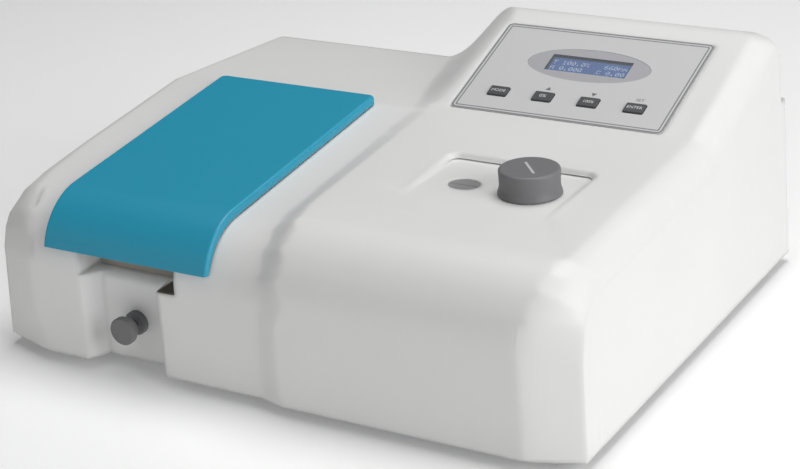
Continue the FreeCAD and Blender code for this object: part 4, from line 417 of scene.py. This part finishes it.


# The outer film, at the sheet's edge, is painted shade of the groove there; the inner one is a printed line.
PANEL_LINES = {"panel_edge_shade": (0.1, 1.5), "panel_border": (2.9, 3.9)}
PANEL_CORNER = 4.4
SHARPEST = 1.2
for name, insets in PANEL_LINES.items():
    edges = [rounded(PANEL_HALF[0] - inset, PANEL_HALF[1] - inset, max(PANEL_CORNER - inset, SHARPEST))
             for inset in insets]
    panel_film(name, edges, 0, 0, SHEET_TOP, "print_and_edge_shade_grey")
clear_field = rounded(SCREEN_HALF[0] + FIELD_MARGIN, SCREEN_HALF[1] + FIELD_MARGIN, FIELD_CORNER)
panel_film("window_tint", [oval(*OVAL_HALF), clear_field], 0, OVAL_V, WINDOW_TOP, "window_tint")
print("border and window film printed")

# %% [markdown]
# The keys carry short function words, and two small arrows stand above the middle keys. Text is a
# curve in Blender, so it becomes a mesh before it is laid on the key.

# %% Key legends and arrows
KEY_PITCH = 35.7
KEY_V = -29.5
KEY_TOP = 1.9
MARK_V = KEY_V + 10
ARROW = [(-2.2, -1.4), (2.2, -1.4), (0, 2.2)]
LONG_WORD, SHORT_WORD, SET_HEIGHT = 4.0, 4.6, 4.2


def word(name, text, height, matrix, body, finish, thickness=FILM):
    """A word set in Blender's own plain letters, centred on its place."""
    letters = bpy.data.curves.new(name, "FONT")
    letters.body = text
    letters.size = height * MM
    letters.extrude = thickness / 2 * MM
    letters.align_x = "CENTER"
    letters.align_y = "CENTER"
    return settle(from_curve(letters, name), matrix, body, finish)


def key_u(number):
    """The middle of a key across the panel. The four are counted from 0."""
    return (number - 1.5) * KEY_PITCH


for number, text in enumerate(("MODE", "0%", "100%", "ENTER")):
    height = LONG_WORD if len(text) > 3 else SHORT_WORD
    word(f"legend_{number + 1}", text, height, panel_matrix(key_u(number), KEY_V, KEY_TOP + FILM / 2),
         f"key_{number + 1}", "print_pale")
for number, turn in ((1, 0.0), (2, math.pi)):
    panel_film(f"arrow_{number}", [ARROW], key_u(number), MARK_V, SHEET_TOP, "print_dark", turn)
word("set_mark", "SET", SET_HEIGHT, panel_matrix(key_u(3), MARK_V, SHEET_TOP + FILM / 2),
     "case", "print_dark")
print("legends and arrows laid")

# %% [markdown]
# The display is a dot matrix: each character is five dots wide and seven high. The dots that are
# lit become loose vertices, and Geometry Nodes puts a small square on each. That is how anything
# that repeats is made here: named inputs for the sizes, then Realize Instances and Set Material.
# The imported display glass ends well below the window, so a taller block takes its place.

# %% A small kit for Geometry Nodes
class Tree:
    """A Geometry Nodes tree built in Python, with named inputs for its sizes in metres."""

    def __init__(self, name, inputs):
        self.tree = bpy.data.node_groups.new(name, "GeometryNodeTree")
        face = self.tree.interface
        face.new_socket("Geometry", in_out="INPUT", socket_type="NodeSocketGeometry")
        self.keys = {}
        for title, value in inputs.items():
            socket = face.new_socket(title, in_out="INPUT", socket_type="NodeSocketFloat")
            socket.default_value = value
            self.keys[title] = socket.identifier
        face.new_socket("Geometry", in_out="OUTPUT", socket_type="NodeSocketGeometry")
        self.entry = self.tree.nodes.new("NodeGroupInput")

    def given(self, title):
        return self.entry.outputs[title]

    def node(self, kind, settings=None, **named):
        """Makes a node. The names of Geometry Nodes are given without their common beginning."""
        shared = kind.startswith(("Shader", "Function"))
        made = self.tree.nodes.new(kind if shared else "GeometryNode" + kind)
        for name, value in (settings or {}).items():
            setattr(made, name, value)
        for name, value in named.items():
            socket = next(s for s in made.inputs if s.enabled and s.name == name.replace("_", " "))
            if isinstance(value, bpy.types.NodeSocket):
                self.link(value, socket)
            else:
                socket.default_value = value
        return made

    def link(self, output, socket):
        self.tree.links.new(output, socket)

    def box(self, x, y, z):
        """A box whose three sizes are outputs of other nodes."""
        made = self.node("MeshCube")
        self.link(self.node("ShaderNodeCombineXYZ", X=x, Y=y, Z=z).outputs[0], made.inputs["Size"])
        return made

    def times(self, output, factor):
        made = self.node("ShaderNodeMath", {"operation": "MULTIPLY"}, Value=output)
        made.inputs[1].default_value = factor
        return made.outputs[0]

    def on_points(self, instance, **more):
        """A copy of the instance on each point of the mesh that comes in."""
        cloud = self.node("MeshToPoints", Mesh=self.given("Geometry"))
        copies = self.node("InstanceOnPoints", Points=cloud.outputs[0], Instance=instance, **more)
        return copies.outputs[0]

    def finish(self, geometry, finish):
        """Realizes the copies, gives them their material and ends the tree."""
        real = self.node("RealizeInstances", Geometry=geometry)
        painted = self.node("SetMaterial", Geometry=real.outputs[0], Material=FINISHES[finish])
        leave = self.tree.nodes.new("NodeGroupOutput")
        self.link(painted.outputs[0], leave.inputs[0])

    def grow(self, name, mesh, values, matrix, body, finish):
        """Runs the tree on a mesh and gives a plain mesh piece that rides on a body."""
        maker = in_scene(name + "_maker", mesh)
        modifier = maker.modifiers.new("grown", "NODES")
        modifier.node_group = self.tree
        for title, value in values.items():
            modifier[self.keys[title]] = value
        evaluated = maker.evaluated_get(bpy.context.evaluated_depsgraph_get())
        grown = bpy.data.meshes.new_from_object(evaluated)
        bpy.data.objects.remove(maker)
        grown.name = name
        return settle(in_scene(name, grown), matrix, body, finish)


def loose_points(name, points):
    """A mesh of single vertices, in metres."""
    mesh = bpy.data.meshes.new(name)
    mesh.from_pydata(points, [], [])
    return mesh


print("Geometry Nodes kit ready")

# %% The lit dots of the display
GLYPHS = {
    "0": "01110 10001 10011 10101 11001 10001 01110", "1": "00100 01100 00100 00100 00100 00100 01110",
    "2": "01110 10001 00001 00110 01000 10000 11111", "3": "01110 10001 00001 00110 00001 10001 01110",
    "4": "00010 00110 01010 10010 11111 00010 00010", "5": "11111 10000 11110 00001 00001 10001 01110",
    "6": "00110 01000 10000 11110 10001 10001 01110", "7": "11111 00001 00010 00100 01000 01000 01000",
    "8": "01110 10001 10001 01110 10001 10001 01110", "9": "01110 10001 10001 01111 00001 00010 01100",
    ".": "00000 00000 00000 00000 00000 01100 01100", "n": "00000 00000 10110 11001 10001 10001 10001",
    "m": "00000 00000 11010 10101 10101 10001 10001", " ": "00000 00000 00000 00000 00000 00000 00000",
    "A": "01110 10001 10001 11111 10001 10001 10001", "T": "11111 00100 00100 00100 00100 00100 00100",
    "%": "11000 11001 00010 00100 01000 10011 00011", "C": "01110 10001 10000 10000 10000 10001 01110",
}
DOT_PITCH = 0.62
CELL_PITCH = 3.72
LINE_PITCH = 6.6
TOP_ROW = LINE_PITCH / 2 + 2.0
SCREEN_TOP = -1.9
SCREEN_DEPTH = 6.2
SCREEN_GAP, SCREEN_CORNER = 0.1, 0.3
block_outline = rounded(SCREEN_HALF[0] - SCREEN_GAP, SCREEN_HALF[1] - SCREEN_GAP, SCREEN_CORNER)
display = flat("display_block", [block_outline], SCREEN_DEPTH,
               panel_matrix(0, OVAL_V, SCREEN_TOP - SCREEN_DEPTH / 2), "case", "blue_display")
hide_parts("lcd_glass")


def lit_dots(lines):
    points = []
    for row, line in enumerate(lines):
        left = -len(line) / 2 * CELL_PITCH
        for column, letter in enumerate(line):
            for step, dots in enumerate(GLYPHS[letter].split()):
                for across, dot in enumerate(dots):
                    if dot == "1":
                        points.append(((left + column * CELL_PITCH + across * DOT_PITCH) * MM,
                                       (TOP_ROW - row * LINE_PITCH - step * DOT_PITCH) * MM, 0))
    return points


DOT_SIZES = {"Dot size": 0.5 * MM, "Thickness": INK * MM}
dots = Tree("dot_matrix", DOT_SIZES)
square = dots.box(dots.given("Dot size"), dots.given("Dot size"), dots.given("Thickness"))

paint = Paint("lit_dots")
flicker = paint.noise(4, 1)
lit = paint.blend(flicker, tone(206, 222, 240), tone(236, 244, 250))
paint.set(Base_Color=lit, Emission_Color=lit, Roughness=0.4)
paint.shader.inputs["Emission Strength"].default_value = 0.6
FINISHES["lit_dots"] = paint.material

dots.finish(dots.on_points(square.outputs[0]), "lit_dots")
shown = lit_dots(("T 100.0%   660nm", "A 0.000   C 0.00"))
screen_dots = dots.grow("screen_dots", loose_points("dots", shown), DOT_SIZES,
                        panel_matrix(0, OVAL_V, SCREEN_TOP + INK_MIDDLE), "case", "lit_dots")
print("display dots", len(shown), "faces", len(screen_dots.data.polygons))

# %% [markdown]
# The dial turns with the knob under a small oval window. It is engraved with a tick for every 5 nm
# and a figure for every 20 nm, 2 nm to a degree, so that 660 nm stands in the window at rest. The
# ticks grow out of loose vertices on a circle: the tree turns each bar to point at the middle.

# %% Ticks and figures of the dial
KNOB = (140.1, 124.0)
DIAL_TOP = 113.5
DIAL_RIM = 59.4
NM_PER_DEGREE = 2.0
SCALE = (360, 960)
MIDDLE_NM = 660
FINE_STEP, FIGURE_STEP = 5, 20
FIGURE_INSET = 8.2
FIGURE_HEIGHT = 4.2
moulded("dial_ink", tone(34), 0.6, relief=0.002)

TICK_WIDTH = 0.25 * MM
ticks = Tree("ticks", {"Length": 3 * MM, "Width": TICK_WIDTH, "Thickness": INK * MM})
bar = ticks.box(ticks.given("Length"), ticks.given("Width"), ticks.given("Thickness"))
inward = ticks.node("ShaderNodeCombineXYZ", X=ticks.times(ticks.given("Length"), -0.5))
moved = ticks.node("Transform", Geometry=bar.outputs[0], Translation=inward.outputs[0])
where = ticks.node("InputPosition")
parts = ticks.node("ShaderNodeSeparateXYZ", Vector=where.outputs[0])
angle = ticks.node("ShaderNodeMath", {"operation": "ARCTAN2"})
ticks.link(parts.outputs[1], angle.inputs[0])
ticks.link(parts.outputs[0], angle.inputs[1])
spin = ticks.node("ShaderNodeCombineXYZ", Z=angle.outputs[0])
turned_to = ticks.node("FunctionNodeEulerToRotation", Euler=spin.outputs[0])
fan = ticks.on_points(moved.outputs[0], Rotation=turned_to.outputs[0])
ticks.finish(fan, "dial_ink")


def dial_point(wavelength, radius):
    """Where a wavelength stands round the dial's middle, in metres. The one at rest is on the left."""
    turn = math.pi - math.radians((wavelength - MIDDLE_NM) / NM_PER_DEGREE)
    return (radius * math.cos(turn) * MM, radius * math.sin(turn) * MM, 0)


ON_DIAL = Matrix.Translation(place(*KNOB, DIAL_TOP + INK_MIDDLE))
for name, step, length in (("fine", FINE_STEP, 1.8), ("coarse", FIGURE_STEP, 3.6)):
    marks = [dial_point(nm, DIAL_RIM) for nm in range(SCALE[0], SCALE[1] + 1, step)]
    grown = ticks.grow(f"dial_ticks_{name}", loose_points(name, marks),
                       {"Length": length * MM, "Width": TICK_WIDTH, "Thickness": INK * MM},
                       ON_DIAL, "knob", "dial_ink")
    print(grown.name, len(marks), "ticks")


def joined(name, pieces):
    """One mesh from several pieces."""
    with bpy.context.temp_override(active_object=pieces[0], selected_editable_objects=pieces):
        bpy.ops.object.join()
    pieces[0].name = name


figures = []
for nm in range(SCALE[0], SCALE[1] + 1, FIGURE_STEP):
    x, y, _ = dial_point(nm, DIAL_RIM - FIGURE_INSET)
    lie = ON_DIAL @ Matrix.Translation((x, y, 0)) @ Matrix.Rotation(math.atan2(y, x) + math.pi, 4, "Z")
    figures.append(word(f"dial_{nm}", str(nm), FIGURE_HEIGHT, lie, "knob", "dial_ink", INK))
joined("dial_figures", figures)
print("figures from", SCALE[0], "to", SCALE[1], "nm")

# %% [markdown]
# A hairline across the small window marks the reading. The knob is turned from a profile with many
# points, so that its waist flows softly into the skirt, and its index line is painted on top.

# %% Hairline, knob and index line
READING = (92.5, 121.5)
READING_TOP = 124.2
HAIRLINE_HALF = (10.6, 0.16)
HAIRLINE_DEPTH = 0.04
flat("reading_line", [rounded(*HAIRLINE_HALF, 0.1, 2)], HAIRLINE_DEPTH,
     Matrix.Translation(place(*READING, READING_TOP + HAIRLINE_DEPTH / 2)), "case", "dial_ink")

KNOB_FOOT = 125.2
KNOB_TOP = 142.6
KNOB_SKIRT = ((21.6, 0.0), (21.55, 0.9), (21.35, 1.8), (21.0, 2.7), (20.65, 3.8), (20.4, 5.2), (20.3, 7.0),
              (20.35, 10.0), (20.5, 13.0), (20.6, 15.2))
KNOB_EDGE = 1.7
EDGE_STEPS = 8
KNOB_FLAT = (17.0, 8.0)


def turned_piece(name, profile, foot, body, finish, steps=128):
    """A closed body turned round the vertical through its foot; the profile is (radius, height) pairs."""
    turns = [2 * math.pi * n / steps for n in range(steps)]
    points = [(0, 0, profile[0][1])]
    for radius, height in profile:
        points += [(radius * math.cos(turn), radius * math.sin(turn), height) for turn in turns]
    points.append((0, 0, profile[-1][1]))
    faces = [(0, 1 + (n + 1) % steps, 1 + n) for n in range(steps)]
    for ring in range(len(profile) - 1):
        below, above = 1 + ring * steps, 1 + (ring + 1) * steps
        faces += [(below + n, below + (n + 1) % steps, above + (n + 1) % steps, above + n)
                  for n in range(steps)]
    last = 1 + (len(profile) - 1) * steps
    faces += [(last + n, last + (n + 1) % steps, len(points) - 1) for n in range(steps)]
    mesh = bpy.data.meshes.new(name)
    mesh.from_pydata([Vector(point) * MM for point in points], [], faces)
    for face in mesh.polygons:
        face.use_smooth = True
    return settle(in_scene(name, mesh), Matrix.Translation(place(*foot)), body, finish)


knob_height = KNOB_TOP - INK - KNOB_FOOT
knob_radius = KNOB_SKIRT[-1][0]
profile = list(KNOB_SKIRT)
for step in range(EDGE_STEPS + 1):
    bow = math.pi / 2 * step / EDGE_STEPS
    profile.append((knob_radius - KNOB_EDGE * (1 - math.cos(bow)),
                    knob_height - KNOB_EDGE * (1 - math.sin(bow))))
profile += [(ring, knob_height) for ring in KNOB_FLAT]
knob = turned_piece("knob_turned", profile, (*KNOB, KNOB_FOOT), "knob", "knob_plastic")
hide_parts("wavelength_knob")

INDEX_ANGLE = math.radians(131)
INDEX_FROM, INDEX_TO = -11.5, 10.2
INDEX_HALF_WIDTH = 0.9
moulded("index_paint", tone(196), 0.5, relief=0.002)
middle = (INDEX_FROM + INDEX_TO) / 2
lie = Matrix.Translation(place(*KNOB, KNOB_TOP - INK / 2)) @ Matrix.Rotation(INDEX_ANGLE, 4, "Z")
flat("index_line", [rounded((INDEX_TO - INDEX_FROM) / 2, INDEX_HALF_WIDTH, 0.2, 2)], INK,
     lie @ Matrix.Translation((middle * MM, 0, 0)), "knob", "index_paint")
print("hairline, knob and index line laid; knob faces", len(knob.data.polygons))

# %% [markdown]
# A pale brownish sheet on the back of the finger notch, under the lid's front edge, is painted shade. A
# darker piece on the ledge in its right corner is painted shade too, where the notch lies deepest in shadow.

# %% Painted shade in the finger notch
NOTCH_LEFT, NOTCH_RIGHT = -150.0, -68.0
NOTCH_FLOOR, NOTCH_BACK = 64.0, 28.0
RECESS_RIGHT = -83.0
SHADE_SHEET, SHADE_SHEET_CORNER = 0.8, 0.6
STRIP_HALF, STRIP_RISE = (38.0, 9.5), 10.4
PAD_HALF, PAD_Y = (6.4, 11.0), 15.4
# Both sheets are painted shade: their browns stand for the shadow on the notch's back wall and on its ledge.
moulded("dark_notch_shade", tone(104, 99, 92), 0.95, grain=0.7, relief=0.2, wander=0.12)
moulded("pale_notch_shade", tone(150, 144, 134), 0.95, grain=0.7, relief=0.2, wander=0.08)
facing_front = Matrix.Rotation(math.pi / 2, 4, "X")
on_wall = place((NOTCH_LEFT + NOTCH_RIGHT) / 2, NOTCH_BACK - SHADE_SHEET / 2, NOTCH_FLOOR + STRIP_RISE)
flat("notch_shade_strip", [rounded(*STRIP_HALF, SHADE_SHEET_CORNER, 3)], SHADE_SHEET, Matrix.Translation(on_wall) @ facing_front,
     "case", "pale_notch_shade")
on_ledge = place((RECESS_RIGHT + NOTCH_RIGHT) / 2, PAD_Y, NOTCH_FLOOR + SHADE_SHEET / 2)
flat("notch_shade_corner", [rounded(*PAD_HALF, SHADE_SHEET_CORNER, 3)], SHADE_SHEET, Matrix.Translation(on_ledge), "case", "dark_notch_shade")
print("felt laid in the notch")

# %% [markdown]
# The steel plate at the back is held by four pan-head screws. A second tree makes the head: a
# cylinder under a flat cone, with a cross cut out of it, copied to each place.

# %% Screws of the rear plate
FACE_BACK = Matrix.Rotation(-math.pi / 2, 4, "X")
HEAD = {"Radius": 2.6 * MM, "Height": 1.6 * MM, "Slot": 0.6 * MM}
HEAD_NARROWS = 0.72
ARM_REACH = 1.1
screws = Tree("screws", HEAD)
radius, height, slot = (screws.given(title) for title in HEAD)
drum = screws.node("MeshCone", {"fill_type": "NGON"}, Vertices=32, Depth=height)
screws.link(radius, drum.inputs["Radius Bottom"])
screws.link(screws.times(radius, HEAD_NARROWS), drum.inputs["Radius Top"])
arm = screws.times(radius, ARM_REACH)
lift = screws.node("ShaderNodeCombineXYZ", Z=height)
cut = screws.node("MeshBoolean", {"operation": "DIFFERENCE"})
screws.link(drum.outputs[0], cut.inputs[0])
for across in ((arm, slot), (slot, arm)):
    block = screws.box(*across, height)
    raised = screws.node("Transform", Geometry=block.outputs[0], Translation=lift.outputs[0])
    screws.link(raised.outputs[0], cut.inputs[1])
screws.finish(screws.on_points(cut.outputs[0]), "bright_steel")
SCREWS_X = (68, 200)
SCREWS_Z = (22, 81)
REAR_FACE = 369.0
corners = [(x, z) for x in SCREWS_X for z in SCREWS_Z]
heads = loose_points("corners", [(x * MM, -z * MM, 0) for x, z in corners])
rear = screws.grow("rear_screws", heads, HEAD, Matrix.Translation(place(0, REAR_FACE, 0)) @ FACE_BACK,
                   "case", "bright_steel")
print("rear screws", len(corners), "faces", len(rear.data.polygons))

# %% [markdown]
# The power switch carries the usual line and ring, sunk into the two halves of the rocker.

# %% Marks of the switch
AXLE = (118.0, 361.5, 38.0)
REST_TILT = math.radians(-7)
FACE_RISE = (7.6, 0.8)
FACE_OUT = 6.9
MARK_UP = 3.8
BAR_HALF = (0.35, 1.7)
RING_OUTER, RING_INNER = 1.7, 1.1


def on_rocker(up):
    """Where a mark lies on one half of the rocker, which stands tipped at rest."""
    slope = math.copysign(FACE_RISE[1] / FACE_RISE[0], up)
    out = FACE_OUT + abs(up) * abs(slope) + INK_MIDDLE
    upward = Vector((0, slope, 1)).normalized()
    basis = Matrix((Vector((-1, 0, 0)), upward, Vector((-1, 0, 0)).cross(upward))).transposed().to_4x4()
    tipped = Matrix.Rotation(REST_TILT, 4, "X") @ Matrix.Translation(Vector((0, out, up)) * MM) @ basis
    return Matrix.Translation(place(*AXLE)) @ tipped


flat("mark_on", [rounded(*BAR_HALF, 0.2, 3)], INK, on_rocker(MARK_UP), "rocker", "print_pale")
ring = [oval(radius, radius, 40) for radius in (RING_OUTER, RING_INNER)]
flat("mark_off", ring, INK, on_rocker(-MARK_UP), "rocker", "print_pale")
print("switch marked")

# %% [markdown]
# The camera stands where the photographer stood: in front and to the right, looking down a little,
# with a long lens, as the straight lines of the object show. Its place was worked out from the
# corners of the housing.

# %% Camera
EYE = (700.8, -960.8, 610.4)
YAW, PITCH, ROLL = (math.radians(a) for a in (31.4, 22.7, 3.5))
FOCAL = 90.284

forward = Vector((-math.sin(YAW) * math.cos(PITCH), math.cos(YAW) * math.cos(PITCH), -math.sin(PITCH)))
level = Vector((math.cos(YAW), math.sin(YAW), 0))
down = forward.cross(level)
right = level * math.cos(ROLL) + down * math.sin(ROLL)
low = down * math.cos(ROLL) - level * math.sin(ROLL)
turned = Matrix((right, -low, -forward)).transposed()

lens = bpy.data.cameras.new("camera")
lens.lens = FOCAL
lens.sensor_width = 36.0
camera = in_scene("camera", lens)
camera.matrix_world = Matrix.Translation(place(*EYE)) @ turned.to_4x4()
bpy.context.scene.camera = camera
print("camera at", tuple(round(c, 3) for c in camera.location))

# %% [markdown]
# The object stands on a plain pale floor. The photograph's brightest side is the right one, then
# the top, and the front is a soft grey. So one strong softbox stands to the right and one hangs
# overhead, while two weak ones lift the front and the left just enough.

# %% Floor and light
FLOOR_REACH = 20


def floor(name, reach):
    """A large square with its own object at the origin."""
    mesh = bpy.data.meshes.new(name)
    mesh.from_pydata([(-reach, -reach, 0), (reach, -reach, 0), (reach, reach, 0), (-reach, reach, 0)], [],
                     [(0, 1, 2, 3)])
    return in_scene(name, mesh)


paint = moulded("floor_paint", tone(244), 0.7, grain=4.0, relief=0.01, wander=0.01)
paint.set(Emission_Color=tone(252))
paint.shader.inputs["Emission Strength"].default_value = 0.15
ground = floor("floor", FLOOR_REACH)
dress(ground, "floor_paint")


def softbox(name, where, at, size, power):
    """A square area light that faces a point."""
    light = bpy.data.lights.new(name, "AREA")
    light.size = size
    light.energy = power
    made = in_scene(name, light)
    made.location = where
    made.rotation_mode = "QUATERNION"
    made.rotation_quaternion = (Vector(at) - Vector(where)).to_track_quat("-Z", "Y")


softbox("right_softbox", (2.4, -0.5, 1.0), (0.1, 0, 0.1), 1.6, 38)
softbox("top_softbox", (0.2, 0.4, 2.4), (0, 0, 0.1), 1.6, 41)
softbox("front_softbox", (0.2, -2.6, 1.2), (0, 0, 0.1), 1.4, 5)
softbox("low_softbox", (-1.5, -2.4, 0.9), (0, 0, 0.1), 1.8, 5)

world = bpy.data.worlds.new("surroundings")
world.use_nodes = True
world.node_tree.nodes["Background"].inputs["Color"].default_value = tone(250)
world.node_tree.nodes["Background"].inputs["Strength"].default_value = 0.01
bpy.context.scene.world = world
bpy.context.scene.view_settings.view_transform = "Standard"
print("floor and four softboxes set")
